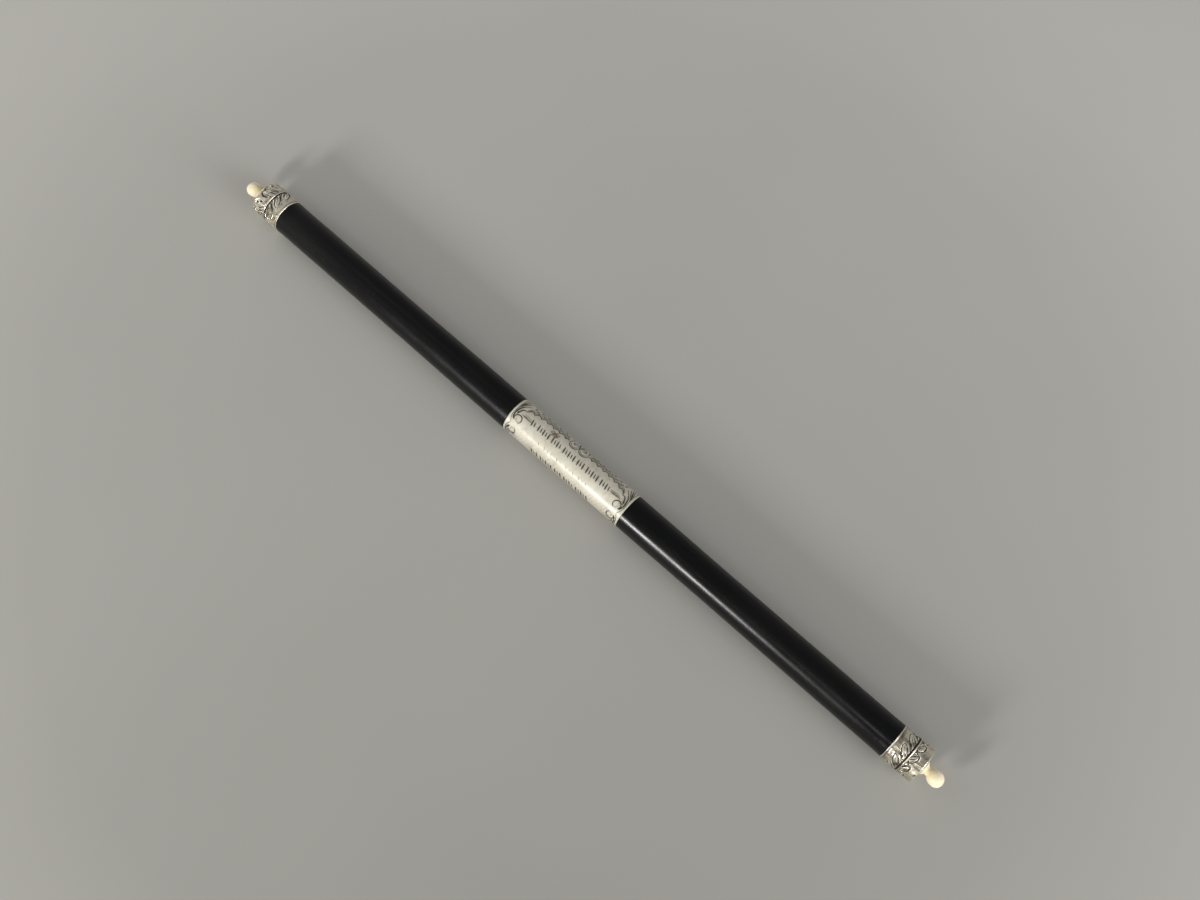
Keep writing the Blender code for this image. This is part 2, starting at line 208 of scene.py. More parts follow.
@dataclass
class Grid:
    """Grid of points that becomes one closed mesh.

    Attributes:
        points: Array of rows by columns by 3, in millimetres; columns close round.
        closing: Whether the rows end on poles or join in a loop.
        layers: Values at the points for the finish to read, by name.
    """

    points: Array
    closing: Closing
    layers: dict[str, Array] = field(default_factory=dict)

    def turned(self) -> "Grid":
        """The same grid turned half round the upright axis."""
        half_turn = np.array([-1.0, -1.0, 1.0])
        return Grid(self.points * half_turn, self.closing, self.layers)

    def quads(self) -> Array:
        """Corner numbers of the four-sided faces, seen from outside.

        Returns:
            Array of faces by 4: along the row first, then to the next row.
        """
        rows, columns = self.points.shape[:2]
        number = np.arange(rows * columns).reshape(rows, columns)
        if self.closing is Closing.LOOP:
            number = np.concatenate([number, number[:1]])
        here, across = number, np.roll(number, -1, axis=1)
        corners = (here[:-1], across[:-1], across[1:], here[1:])
        return np.stack(corners, axis=-1).reshape(-1, 4)

    def fans(self) -> Array:
        """Corner numbers of the triangles that meet in the two poles.

        Returns:
            Array of faces by 3, with no faces for a loop.
        """
        if self.closing is Closing.LOOP:
            return np.zeros((0, 3), int)
        rows, columns = self.points.shape[:2]
        first = np.arange(columns)
        last = first + (rows - 1) * columns
        start, stop = rows * columns, rows * columns + 1
        opening = (np.full(columns, start), np.roll(first, -1), first)
        ending = (last, np.roll(last, -1), np.full(columns, stop))
        return np.concatenate([np.stack(opening, -1), np.stack(ending, -1)])

    def poles(self) -> Array:
        """Middles of the first and the last row.

        Returns:
            The two points, or none for a loop.
        """
        if self.closing is Closing.LOOP:
            return np.zeros((0, 3))
        return np.stack([self.points[0].mean(axis=0), self.points[-1].mean(axis=0)])

    def piece(self, name: str, sharp_degrees: float) -> bpy.types.Object:
        """Make the grid an object at the origin.

        Args:
            name: Name of the piece.
            sharp_degrees: Edges that turn by more than this are shaded sharp.

        Returns:
            The new object, linked to the scene.
        """
        poles = self.poles()
        points = np.concatenate([self.points.reshape(-1, 3), poles]) * MM
        quads, fans = self.quads(), self.fans()
        corners = np.concatenate([quads.ravel(), fans.ravel()])
        sizes = np.concatenate([np.full(len(quads), 4), np.full(len(fans), 3)])
        mesh = bpy.data.meshes.new(name)
        mesh.vertices.add(len(points))
        mesh.vertices.foreach_set("co", points.ravel().astype(np.float32))
        mesh.loops.add(len(corners))
        mesh.loops.foreach_set("vertex_index", corners.astype(np.int32))
        mesh.polygons.add(len(sizes))
        starts = np.concatenate([[0], np.cumsum(sizes)[:-1]])
        mesh.polygons.foreach_set("loop_start", starts.astype(np.int32))
        for layer, values in self.layers.items():
            spread = np.broadcast_to(values, self.points.shape[:2])
            ends = spread[[0, -1]].mean(axis=1)[: len(poles)]
            target = mesh.attributes.new(layer, "FLOAT", "POINT")
            full = np.concatenate([spread.ravel(), ends]).astype(np.float32)
            target.data.foreach_set("value", full)
        mesh.update(calc_edges=True)
        mesh.shade_smooth()
        mesh.set_sharp_from_angle(angle=math.radians(sharp_degrees))
        piece = bpy.data.objects.new(name, mesh)
        bpy.context.scene.collection.objects.link(piece)
        return piece


class Graph:
    """Node tree of a material or of the room, with short calls for its nodes."""

    def __init__(self, tree: bpy.types.NodeTree, place: str) -> None:
        """Start work on a tree, with the texture coordinate that its patterns read."""
        self.tree = tree
        self.place = self.node("TexCoord").outputs[place]

    def node(self, kind: str, **settings: str) -> bpy.types.Node:
        """New node of the tree.

        Args:
            kind: Blender's name of the node, less its first word.
            settings: Choices of the node, such as its operation.

        Returns:
            The node.
        """
        node = self.tree.nodes.new("ShaderNode" + kind)
        for name, choice in settings.items():
            setattr(node, name, choice)
        return node

    def put(self, target: Socket, value: Socket | float | Colour) -> None:
        """Link a socket to an input, or set the input to a plain value.

        Args:
            target: The input.
            value: The socket, number, vector or colour for it.
        """
        if isinstance(value, bpy.types.NodeSocket):
            self.tree.links.new(value, target)
        elif isinstance(value, tuple) and len(target.default_value) == 4:
            target.default_value = (*value, 1.0)
        else:
            target.default_value = value

    def layer(self, name: str) -> Socket:
        """Value that the mesh holds at each point under a name."""
        return self.node("Attribute", attribute_name=name).outputs["Fac"]

    def noise(self, repeats: Triple, detail: float = 3.0, warp: float = 0.0) -> Socket:
        """Noise that is stretched by its own number of repeats along each axis.

        Args:
            repeats: Repeats to the metre along X, Y and Z.
            detail: Octaves.
            warp: Distortion of the pattern.

        Returns:
            The noise's value, about 0.5 on average.
        """
        stretch = self.node("Mapping")
        stretch.inputs["Scale"].default_value = repeats
        self.put(stretch.inputs["Vector"], self.place)
        node = self.node("TexNoise")
        node.inputs["Scale"].default_value = 1.0
        node.inputs["Detail"].default_value = detail
        node.inputs["Distortion"].default_value = warp
        self.put(node.inputs["Vector"], stretch.outputs["Vector"])
        return node.outputs["Fac"]

    def distance(self, place: Triple) -> Socket:
        """Distance of each point from a place.

        Args:
            place: The place, in metres.

        Returns:
            The distance, in metres.
        """
        node = self.node("VectorMath", operation="DISTANCE")
        self.put(node.inputs[0], self.place)
        self.put(node.inputs[1], place)
        return node.outputs["Value"]

    def remap(self, value: Socket, low: float, high: float,
              to_low: float = 0.0, to_high: float = 1.0) -> Socket:
        """Value brought from one range to another and held there.

        Args:
            value: The value.
            low: What becomes to_low.
            high: What becomes to_high.
            to_low: Result for values up to low.
            to_high: Result for values from high.

        Returns:
            The value in its new range.
        """
        node = self.node("MapRange")
        limits = {"From Min": low, "From Max": high, "To Min": to_low, "To Max": to_high}
        for name, number in limits.items():
            node.inputs[name].default_value = number
        self.put(node.inputs["Value"], value)
        return node.outputs["Result"]

    def scaled(self, share: Socket, low: float, high: float) -> Socket:
        """Value from low to high as a share rises from 0 to 1."""
        return self.remap(share, 0.0, 1.0, low, high)

    def compute(self, operation: str, a: Socket | float, b: Socket | float) -> Socket:
        """Result of one arithmetic step.

        Args:
            operation: Blender's name of the step.
            a: First value.
            b: Second value.

        Returns:
            The result.
        """
        node = self.node("Math", operation=operation)
        self.put(node.inputs[0], a)
        self.put(node.inputs[1], b)
        return node.outputs["Value"]

    def add(self, a: Socket | float, b: Socket | float) -> Socket:
        """Sum of two values."""
        return self.compute("ADD", a, b)

    def times(self, a: Socket | float, b: Socket | float) -> Socket:
        """Product of two values."""
        return self.compute("MULTIPLY", a, b)

    def mix(self, share: Socket, a: Socket | Colour, b: Socket | Colour) -> Socket:
        """Colour that goes over from one to another.

        Args:
            share: How far it has gone, from 0 to 1.
            a: Colour at 0.
            b: Colour at 1.

        Returns:
            The mixed colour.
        """
        node = self.node("Mix", data_type="RGBA")
        self.put(node.inputs["Factor"], share)
        colours = [socket for socket in node.inputs if socket.type == "RGBA"]
        self.put(colours[0], a)
        self.put(colours[1], b)
        return next(socket for socket in node.outputs if socket.type == "RGBA")

    def bump(self, height: Socket, depth: float, strength: float,
             under: Socket | None = None) -> Socket:
        """Normal of a surface that a height raises.

        Args:
            height: Height from 0 to 1.
            depth: What a height of 1 stands for, in millimetres.
            strength: Share of the effect.
            under: Normal of a coarser bump beneath this one.

        Returns:
            The normal.
        """
        node = self.node("Bump")
        node.inputs["Distance"].default_value = depth * MM
        node.inputs["Strength"].default_value = strength
        self.put(node.inputs["Height"], height)
        if under is not None:
            self.put(node.inputs["Normal"], under)
        return node.outputs["Normal"]


class Finish(Graph):
    """Graph of one material, with its Principled shader."""

    def __init__(self, name: str) -> None:
        """Start a material.

        Args:
            name: Name of the material.
        """
        self.material = bpy.data.materials.new(name)
        self.material.use_nodes = True
        super().__init__(self.material.node_tree, "Object")
        self.shader = self.tree.nodes["Principled BSDF"]

    def set(self, **inputs: Socket | float | Colour) -> None:
        """Set inputs of the shader.

        Args:
            inputs: Values by the inputs' names, with underscores for spaces.
        """
        for name, value in inputs.items():
            title = name.replace("_", " ").title().replace("Ior", "IOR")
            self.put(self.shader.inputs[title], value)


@dataclass(frozen=True)
class Ebony:
    """Near-black wood, hand-polished, with fine pores along the rod.

    Attributes:
        name: Name of the material.
        dark: Colour of the wood.
        streak: Colour of its faint streaks.
        streaks: Repeats of the streaks, to the metre.
        pores: Repeats of the pores.
        handling: Repeats of the patches that hands have polished.
        waves: Repeats of the waves left by turning.
        polish: Roughness where it is polished most and least.
        pore_blur: Roughness that a pore adds.
        pore_depth: Height of a pore, below zero as it is sunk.
        wave_height: Height of a wave.
    """

    name: str = "ebony"
    dark: Colour = (0.0012, 0.0015, 0.0020)
    streak: Colour = (0.0065, 0.0052, 0.0045)
    streaks: Triple = (9.0, 420.0, 420.0)
    pores: Triple = (260.0, 5200.0, 5200.0)
    handling: Triple = (28.0, 90.0, 90.0)
    waves: Triple = (22.0, 160.0, 160.0)
    polish: Pair = (0.22, 0.33)
    pore_blur: float = 0.2
    pore_depth: float = -0.012
    wave_height: float = 0.05

    def material(self) -> bpy.types.Material:
        """Long faint streaks, short dull pores and a slightly uneven polish.

        Returns:
            The material.
        """
        g = Finish(self.name)
        streaks = g.remap(g.noise(self.streaks, 4.0), 0.5, 0.78)
        pores = g.remap(g.noise(self.pores, 2.0), 0.62, 0.72)
        polish = g.remap(g.noise(self.handling), 0.35, 0.7, *self.polish)
        waves = g.bump(g.noise(self.waves, 2.0), self.wave_height, 0.6)
        g.set(base_color=g.mix(streaks, self.dark, self.streak),
              roughness=g.add(polish, g.scaled(pores, 0.0, self.pore_blur)),
              normal=g.bump(pores, self.pore_depth, 0.5, waves),
              specular_ior_level=0.3)
        return g.material


@dataclass(frozen=True)
class Silver:
    """Old silver with black tarnish in its cuts and a dull warm bloom.

    Attributes:
        name: Name of the material.
        polish: Roughness where the metal is brightest.
        bloom: How much the open surface has gone dull, from 0 to 1.
        bright: Colour of the worn, bright metal.
        dull: Colour of the bloom.
        lacquer: Weight of the thin gloss over the metal.
        lacquer_blur: Roughness of that gloss.
        patina: Strength of the brown streaks in the bloom.
        metal: How metallic the open surface is under its bloom, from 0 to 1.
        stain_and_shade: Colour of the stained patches, of the painted shade and of the painted
            dark reflections.
        brown: Colour of the brown streaks.
        tarnish: Colour of the cuts.
        patches: Repeats of the patches of bloom, to the metre.
        specks: Repeats of the specks in the stains and the cuts.
        streaks: Repeats of the brown streaks.
        rubbing: Repeats of the patches that are rubbed more or less.
        dents: Repeats of the dents.
        hairlines: Repeats of the hairline scratches.
    """

    name: str
    polish: float
    bloom: float
    bright: Colour
    dull: Colour
    lacquer: float
    lacquer_blur: float
    patina: float
    metal: float
    stain_and_shade: Colour
    brown: Colour = (0.27, 0.225, 0.15)
    tarnish: Colour = (0.034, 0.026, 0.017)
    patches: Triple = (130.0, 150.0, 150.0)
    specks: Triple = (900.0, 900.0, 900.0)
    streaks: Triple = (330.0, 170.0, 170.0)
    rubbing: Triple = (240.0, 420.0, 420.0)
    dents: Triple = (190.0, 190.0, 190.0)
    hairlines: Triple = (2600.0, 700.0, 700.0)

    def material(self) -> bpy.types.Material:
        """Dull metal: bright where it is worn, and at the end caps' outer edges where a highlight
        is painted; darkened by stained patches, painted shade and painted dark reflections; black
        in the cuts.

        Returns:
            The material.
        """
        g = Finish(self.name)
        specks = g.noise(self.specks)
        cuts = self.weighted(g, "tarnish", g.remap(specks, 0.25, 0.6, 0.85, 1.1))
        # Stained patches, painted shade and painted dark reflections
        spots = self.weighted(g, "stain_and_shade", g.remap(specks, 0.3, 0.62, 0.55, 1.25))
        # Wear, and a painted highlight along the end caps' outer edges
        burnish = g.layer("burnish")
        g.set(base_color=g.mix(cuts, self.hue(g, spots, burnish), self.tarnish),
              metallic=g.remap(g.compute("MAXIMUM", cuts, spots), 0.3, 1.0, self.metal, 0.5),
              roughness=self.roughness(g, cuts, spots, burnish),
              coat_weight=self.lacquer, coat_roughness=self.lacquer_blur)
        dents = g.bump(g.noise(self.dents, 2.0), 0.03, 0.5)
        g.set(normal=g.bump(g.noise(self.hairlines, 3.0, 0.4), 0.004, 0.35, dents))
        return g.material

    def hue(self, g: Finish, spots: Socket, burnish: Socket) -> Socket:
        """Colour of the open metal with its bloom, brown streaks, stained patches and painted
        shade.

        Args:
            g: The material's graph.
            spots: Strength of the stained patches and of the painted shade at a point.
            burnish: How much wear has brightened it, with a painted highlight at the end caps'
                outer edges.

        Returns:
            The colour.
        """
        worn = g.scaled(burnish, 1.0, 0.12)
        patches = g.remap(g.noise(self.patches, 4.0, 0.6), 0.32, 0.66)
        bloom = g.times(g.scaled(patches, self.bloom - 0.5, self.bloom), worn)
        streaks = g.remap(g.noise(self.streaks, 5.0, 1.2), 0.5, 0.74, 0.0, self.patina)
        plain = g.mix(bloom, self.bright, self.dull)
        return g.mix(spots, g.mix(g.times(streaks, worn), plain, self.brown), self.stain_and_shade)

    def roughness(self, g: Finish, cuts: Socket, spots: Socket, burnish: Socket) -> Socket:
        """Roughness: less where the metal is worn, more in cuts, stained patches and painted
        shade.

        Args:
            g: The material's graph.
            cuts: How deep in a cut a point is.
            spots: Strength of the stained patches and of the painted shade.
            burnish: How much wear has brightened it, with a painted highlight at the end caps'
                outer edges.

        Returns:
            The roughness.
        """
        rubbing = g.noise(self.rubbing, 4.0)
        rough = g.remap(rubbing, 0.3, 0.7, self.polish, self.polish + 0.09)
        rough = g.compute("SUBTRACT", rough, g.times(burnish, 0.05))
        return g.add(g.add(rough, g.times(cuts, 0.25)), g.times(spots, 0.15))

    @staticmethod
    def weighted(g: Finish, layer: str, weight: Socket) -> Socket:
        """A layer of the mesh times a weight, held between 0 and 1."""
        return g.scaled(g.times(g.layer(layer), weight), 0.0, 1.0)


SLEEVE_SILVER = Silver(
    "sleeve_silver", polish=0.7, bloom=0.6, bright=(0.735, 0.708, 0.622),
    dull=(0.59, 0.558, 0.452), lacquer=0.65, lacquer_blur=0.27, patina=0.25,
    metal=0.64, stain_and_shade=(0.20, 0.155, 0.11))
MOUNT_SILVER = Silver(
    "mount_silver", polish=0.26, bloom=0.9, bright=(0.98, 0.94, 0.81),
    dull=(0.61, 0.56, 0.43), lacquer=0.35, lacquer_blur=0.13, patina=0.95,
    metal=0.86, stain_and_shade=(0.115, 0.098, 0.054))


@dataclass(frozen=True)
class DarkRing:
    """Dull brown-black stuff of the two thin rings.

    Attributes:
        name: Name of the material.
        dark: Its colour.
        brown: Its colour where it is worn.
        wear: Repeats of the worn patches, to the metre.
        polish: Roughness where it is sound and where it is worn.
    """

    name: str = "dark_ring"
    dark: Colour = (0.009, 0.0052, 0.003)
    brown: Colour = (0.030, 0.018, 0.010)
    wear: Triple = (700.0, 350.0, 350.0)
    polish: Pair = (0.5, 0.68)

    def material(self) -> bpy.types.Material:
        """Brown-black, a little worn.

        Returns:
            The material.
        """
        g = Finish(self.name)
        worn = g.remap(g.noise(self.wear, 4.0), 0.45, 0.75)
        g.set(base_color=g.mix(worn, self.dark, self.brown),
              roughness=g.scaled(worn, *self.polish),
              normal=g.bump(worn, 0.02, 0.4), specular_ior_level=0.3)
        return g.material


@dataclass(frozen=True)
class Ivory:
    """Turned ivory, cream on the ball and yellower in the hollows.

    Attributes:
        name: Name of the material.
        cream: Its colour.
        grain: Colour of its grain.
        honey: Colour in the hollows.
        lines: Repeats of the wavy grain, to the metre.
        clouds: Repeats of the clouds in its colour and polish.
        polish: Roughness at the glossiest and the dullest.
        glow: How deep light of each colour goes in, against red.
        glow_depth: How deep red light goes in.
    """

    name: str = "ivory"
    cream: Colour = (0.985, 0.89, 0.665)
    grain: Colour = (0.86, 0.73, 0.47)
    honey: Colour = (0.87, 0.72, 0.43)
    lines: Triple = (120.0, 1500.0, 1500.0)
    clouds: Triple = (300.0, 300.0, 300.0)
    polish: Pair = (0.42, 0.54)
    glow: Triple = (1.0, 0.7, 0.4)
    glow_depth: float = 1.5

    def material(self) -> bpy.types.Material:
        """Fine wavy grain along the finial, with honey colour in the hollows.

        Returns:
            The material.
        """
        g = Finish(self.name)
        lines = g.remap(g.noise(self.lines, 4.0, 0.8), 0.42, 0.68)
        clouds = g.remap(g.noise(self.clouds, 2.0), 0.3, 0.75)
        hollow = g.add(g.layer("hollow"), g.scaled(clouds, 0.0, 0.1))
        hue = g.mix(g.scaled(lines, 0.0, 0.7), self.cream, self.grain)
        g.set(base_color=g.mix(g.scaled(hollow, 0.0, 1.0), hue, self.honey),
              roughness=g.scaled(clouds, *self.polish), specular_ior_level=0.35,
              normal=g.bump(lines, 0.006, 0.4),
              subsurface_weight=0.25, subsurface_scale=self.glow_depth * MM)
        g.shader.inputs["Subsurface Radius"].default_value = self.glow
        return g.material


@dataclass(frozen=True)
class Table:
    """Pale grey table top, with painted shade in front and under the baton.

    Attributes:
        name: Name of the material.
        light: Colour of the far part.
        shade: Colour of the darkest part of the painted shade.
        front: Place in front where the painted shade is darkest, in metres.
        front_reach: Distances from it where lightening starts and ends, in metres.
        front_share: Share of the lightening that this gives.
        under_reach: The same distances for the painted shade under the baton's middle.
        under_share: Share of the lightening that this gives.
        clouds: Repeats of the faint clouds, to the metre.
        cloud_share: Share of the lightening that the clouds give.
    """

    name: str = "table"
    light: Colour = (0.530, 0.520, 0.487)
    shade: Colour = (0.300, 0.294, 0.273)
    front: Triple = (0.24, -0.30, 0.0)
    front_reach: Pair = (0.16, 0.66)
    front_share: float = 0.70
    under_reach: Pair = (0.26, 0.42)
    under_share: float = 0.32
    clouds: Triple = (5.0, 5.0, 5.0)
    cloud_share: float = 0.08

    def material(self) -> bpy.types.Material:
        """Matt grey, with painted shade a little darker in front and under the baton, faintly
        clouded.

        Returns:
            The material.
        """
        g = Finish(self.name)
        # Painted shade: darker towards a place in front and under the baton's middle
        front = g.remap(g.distance(self.front), *self.front_reach, 0.0, self.front_share)
        under = g.remap(g.distance((0.0, 0.0, 0.0)), *self.under_reach, 0.0, self.under_share)
        cloud = g.remap(g.noise(self.clouds, 2.0), 0.3, 0.7, 0.0, self.cloud_share)
        away = g.add(g.add(front, under), cloud)
        g.set(base_color=g.mix(away, self.shade, self.light), roughness=0.85)
        return g.material


@dataclass(frozen=True)
class Stroke:
    """One cut of the graver.

    Attributes:
        path: Points of the cut: along the baton, round it, and half its width.
        depth: Depth of the cut, from 0 to 1 of the engraver's deepest.
    """

    path: Array
    depth: float = 1.0

    @classmethod
    def swelling(cls, along: Array, across: Array, thick: float,
                 thin: float = THIN, depth: float = 1.0) -> "Stroke":
        """A cut that is thin at both ends and thickest at its middle.

        Args:
            along: Places along the baton.
            across: Places round it, as arc lengths.
            thick: Half the width at the middle.
            thin: Half the width at the ends.
            depth: Depth of the cut.

        Returns:
            The stroke, its half-width rising and falling as a power of a sine.
        """
        share = np.linspace(0.0, 1.0, len(along))
        width = thin + (thick - thin) * np.sin(math.pi * share) ** SWELL
        return cls(np.stack([along, across, width], axis=1), depth)

    @classmethod
    def dot(cls, along: float, across: float, radius: float, depth: float = 1.0) -> "Stroke":
        """A round punch mark.

        Args:
            along: Its place along the baton.
            across: Its place round it.
            radius: Its radius.
            depth: Its depth.

        Returns:
            The mark, as a stroke that is very short for its width.
        """
        small = radius / 10
        path = [(along - small, across, radius), (along + small, across, radius)]
        return cls(np.array(path), depth)

    def mirrored(self, flip_along: float, flip_across: float) -> "Stroke":
        """The same cut on another side of the cartouche's two middle lines."""
        return Stroke(self.path * np.array([flip_along, flip_across, 1.0]), self.depth)

    def carve(self, cuts: Array, along: Array, across: Array) -> None:
        """Deepen a field of cuts where this stroke passes.

        The cut under a straight piece of the path is its depth times
        (1 - distance / half-width), a V that is widened to a narrow floor.

        Args:
            cuts: Field of rows by columns, changed in place.
            along: Place of each row along the baton, rising.
            across: Place of each column round it, rising.
        """
        for (xa, sa, wa), (xb, sb, wb) in zip(self.path, self.path[1:]):
            reach = max(wa, wb)
            x_span = (min(xa, xb) - reach, max(xa, xb) + reach)
            s_span = (min(sa, sb) - reach, max(sa, sb) + reach)
            rows = slice(*np.searchsorted(along, x_span))
            columns = slice(*np.searchsorted(across, s_span))
            px = along[rows, None] - xa
            ps = across[None, columns] - sa
            dx, ds = xb - xa, sb - sa
            t = np.clip((px * dx + ps * ds) / max(dx * dx + ds * ds, 1e-9), 0.0, 1.0)
            distance = np.hypot(px - t * dx, ps - t * ds)
            wedge = STEEPNESS * (1.0 - distance / (wa + (wb - wa) * t))
            cut = self.depth * np.clip(wedge, 0.0, 1.0)
            cuts[rows, columns] = np.maximum(cuts[rows, columns], cut)


# Scalloped lines of the frame: lift outside the main one, half-width, depth
BORDERS = ((0.0, 0.36, 1.0), (1.05, 0.2, 0.8))
# Leaves of a sprig: how far each leans to the side, and its length
SPRIG_LEAVES = ((-0.95, 1.9), (0.0, 2.5), (0.95, 1.9))
# Short ticks over a scallop: distance of each from the scallop's middle
TICKS = (-0.42, 0.0, 0.42)
# Hanging scrolls of the crest: distance inside the first, half-width, depth
CREST_SCROLLS = ((0.0, 0.3, 1.0), (0.85, 0.2, 0.8))
# Plumes of the corner: points as distances in from the sleeve's end and from
# the middle line, half-width, depth; the first of them starts at the last cusp
FIRST_PLUME = (((4.6, 8.9), (3.7, 7.9), (3.3, 6.6), (2.9, 5.2)), 0.36, 1.0)
PLUMES = (
    (((3.8, 10.6), (2.7, 9.2), (2.0, 7.0), (1.85, 4.6), (2.3, 2.6)), 0.42, 1.0),
    (((3.0, 12.6), (1.9, 10.2), (1.25, 7.2), (1.3, 3.2), (2.6, 0.15)), 0.2, 0.9),
    (((2.6, 17.2), (2.2, 14.0), (1.5, 11.2), (1.2, 8.6)), 0.24, 0.95),
    (((3.6, 16.6), (3.0, 13.8), (2.1, 11.4), (1.5, 8.9)), 0.34, 1.0),
    (((4.8, 15.4), (3.9, 13.2), (2.9, 11.4), (2.0, 9.2)), 0.26, 0.95),
    (((6.2, 13.7), (5.0, 12.3), (3.8, 11.0), (2.9, 9.6)), 0.22, 0.9),
    (((3.2, 7.0), (2.9, 6.0), (2.8, 5.0)), 0.3, 0.7),
)


@dataclass
class Cartouche:
    """Engraved frame of the sleeve, one quarter of it mirrored four ways.

    Places are measured from the cartouche's centre: along the baton, and round
    the sleeve as an arc length.

    Attributes:
        end: Half the sleeve's length.
        offset: Distance of the scalloped border from the middle line.
        start: Where the first scallop begins, beside the crest.
        count: Number of scallops.
        rise: Height of a scallop.
        drop: How far the border comes in by the corner.
        corner_inset: Distance of the last scallop's end from the sleeve's end.
        outer_lift: Distance of the closing line outside the border.
        crest_half: Half the width of a hanging scroll.
        crest_gap: Gap between the two hanging scrolls.
        crest_drop: How far a scroll hangs down.
        volute_inset: Distance of the volute's centre from the sleeve's end.
        volute_offset: Distance of that centre from the middle line.
        volute_radius: Radius of the volute.
        rim_inset: Distance of the rim's line from the sleeve's end.
    """

    end: float
    offset: float = 11.9
    start: float = 8.5
    count: int = 6
    rise: float = 1.55
    drop: float = 2.9
    corner_inset: float = 5.9
    outer_lift: float = 5.6
    crest_half: float = 2.8
    crest_gap: float = 0.35
    crest_drop: float = 2.75
    volute_inset: float = 4.95
    volute_offset: float = 3.35
    volute_radius: float = 2.2
    rim_inset: float = 1.25

    @property
    def pitch(self) -> float:
        """Width of a scallop."""
        return (self.end - self.corner_inset - self.start) / self.count

    def cusps(self) -> list[Pair]:
        """Cusps between the scallops, from the crest to the corner.

        Returns:
            Their places; the border comes in as the fourth power of the way.
        """
        steps = np.arange(self.count + 1)
        across = self.offset - self.drop * (steps / self.count) ** 4
        return list(zip(self.start + self.pitch * steps, across))

    def border(self, lift: float, thick: float, depth: float) -> list[Stroke]:
        """Row of scallops, each a half sine over its chord.

        Args:
            lift: Distance outside the main line.
            thick: Half the width of the cut at a scallop's crown.
            depth: Depth of the cut.

        Returns:
            One stroke for each scallop.
        """
        beside_crest = self.crest_gap + 2 * self.crest_half + 0.6
        points = [(beside_crest, self.offset + self.rise / 2), *self.cusps()]
        u = np.linspace(0.0, 1.0, 11)
        strokes = []
        for (xa, sa), (xb, sb) in zip(points, points[1:]):
            bulge = self.rise * (xb - xa) / self.pitch
            along = xa + (xb - xa) * u
            across = sa + (sb - sa) * u + bulge * np.sin(math.pi * u) + lift
            strokes.append(Stroke.swelling(along, across, thick, 0.6 * thick, depth))
        return strokes

    def sprigs(self) -> list[Stroke]:
        """Sprig of three short leaves outside each cusp, a dot and ticks between.

        Returns:
            Their strokes.
        """
        strokes = []
        for x, s in self.cusps()[:-1]:
            for lean, length in SPRIG_LEAVES:
                along = np.array([x + 0.2 * lean, x + 0.85 * lean, x + 1.2 * lean])
                across = s + 2.2 + np.array([0.0, 0.55, 1.0]) * (length - 0.3)
                strokes.append(Stroke.swelling(along, across, 0.26))
            middle = x + self.pitch / 2
            strokes.append(Stroke.dot(middle, s + self.rise + 1.9, 0.36))
            for step in TICKS:
                ends = np.array([middle + step - 0.25, middle + step + 0.25])
                run = np.array([s + self.rise + 2.5, s + self.rise + 3.7])
                strokes.append(Stroke.swelling(ends, run, 0.2, 0.14, 0.9))
        return strokes

    def outer_line(self) -> list[Stroke]:
        """Plain line that closes the border on its outer side.

        Returns:
            One stroke, which comes in as the fourth power of the way.
        """
        x = np.linspace(0.0, self.end - self.corner_inset + 0.4, 30)
        s = self.offset + self.outer_lift - 0.5 * (x / self.end) ** 4
        return [Stroke.swelling(x, s, 0.2, 0.16, 0.8)]

    def crest(self) -> list[Stroke]:
        """One of the two hanging scrolls at the border's middle, with its stems.

        The scrolls are half ellipses, and the curl over them is a spiral whose
        radius shrinks evenly as it turns.

        Returns:
            Their strokes.
        """
        cx = self.crest_gap / 2 + self.crest_half
        top = self.offset + 1.1
        a = np.linspace(0.0, math.pi, 17)
        strokes = []
        for inset, thick, depth in CREST_SCROLLS:
            along = cx - (self.crest_half - inset) * np.cos(a)
            across = top - (self.crest_drop - inset) * np.sin(a)
            strokes.append(Stroke.swelling(along, across, thick, 0.12, depth))
        curl = np.linspace(0.0, 1.0, 26)
        radius = 1.35 * (1.0 - 0.72 * curl)
        turn = math.pi * (1.05 - 2.1 * curl)
        along = cx - 0.15 + radius * np.cos(turn)
        across = top + 0.75 - radius * np.sin(turn + math.pi)
        strokes.append(Stroke.swelling(along, across, 0.3, 0.12))
        stems = (
            (((-self.crest_half, 0.0), (-2.25, 1.9), (-1.6, 4.2)), 0.42, 0.15, 1.0),
            (((self.crest_half, 0.0), (2.3, 1.7), (1.9, 4.0)), 0.25, 0.12, 0.9),
        )
        for points, thick, thin, depth in stems:
            stem = curve_through([(cx + dx, top + ds) for dx, ds in points])
            strokes.append(Stroke.swelling(*stem, thick, thin, depth))
        strokes.append(Stroke.dot(cx - 0.1, top + 2.9, 0.3, 0.9))
        return strokes

    def volute(self) -> list[Stroke]:
        """Scroll that hangs in the corner and winds round a bright button.

        The scroll and the button's shadow are arcs whose radius shrinks evenly
        as they turn.

        Returns:
            Their strokes, with a wedge and a dot beside them.
        """
        cx = self.end - self.volute_inset
        cs = self.volute_offset
        u = np.linspace(0.0, 1.0, 34)
        angle = np.radians(-35.0 + 275.0 * u)
        radius = self.volute_radius * (1.0 - 0.08 * u)
        outer = (cx + radius * np.cos(angle), cs + radius * np.sin(angle))
        angle = np.radians(200.0 + 200.0 * u)
        radius = 1.25 - 0.5 * u
        inner = (cx - 0.1 + radius * np.cos(angle), cs - 0.3 + radius * np.sin(angle))
        wedge = curve_through([(cx + 1.6, cs - 1.0), (cx + 2.45, cs - 0.5), (cx + 2.75, cs + 0.9)])
        return [
            Stroke.swelling(*outer, 0.34, 0.14),
            Stroke.swelling(*inner, 0.15, 0.06, 0.55),
            Stroke.swelling(*wedge, 0.5, 0.06),
            Stroke.dot(cx + 2.0, cs + 2.95, 0.42),
        ]

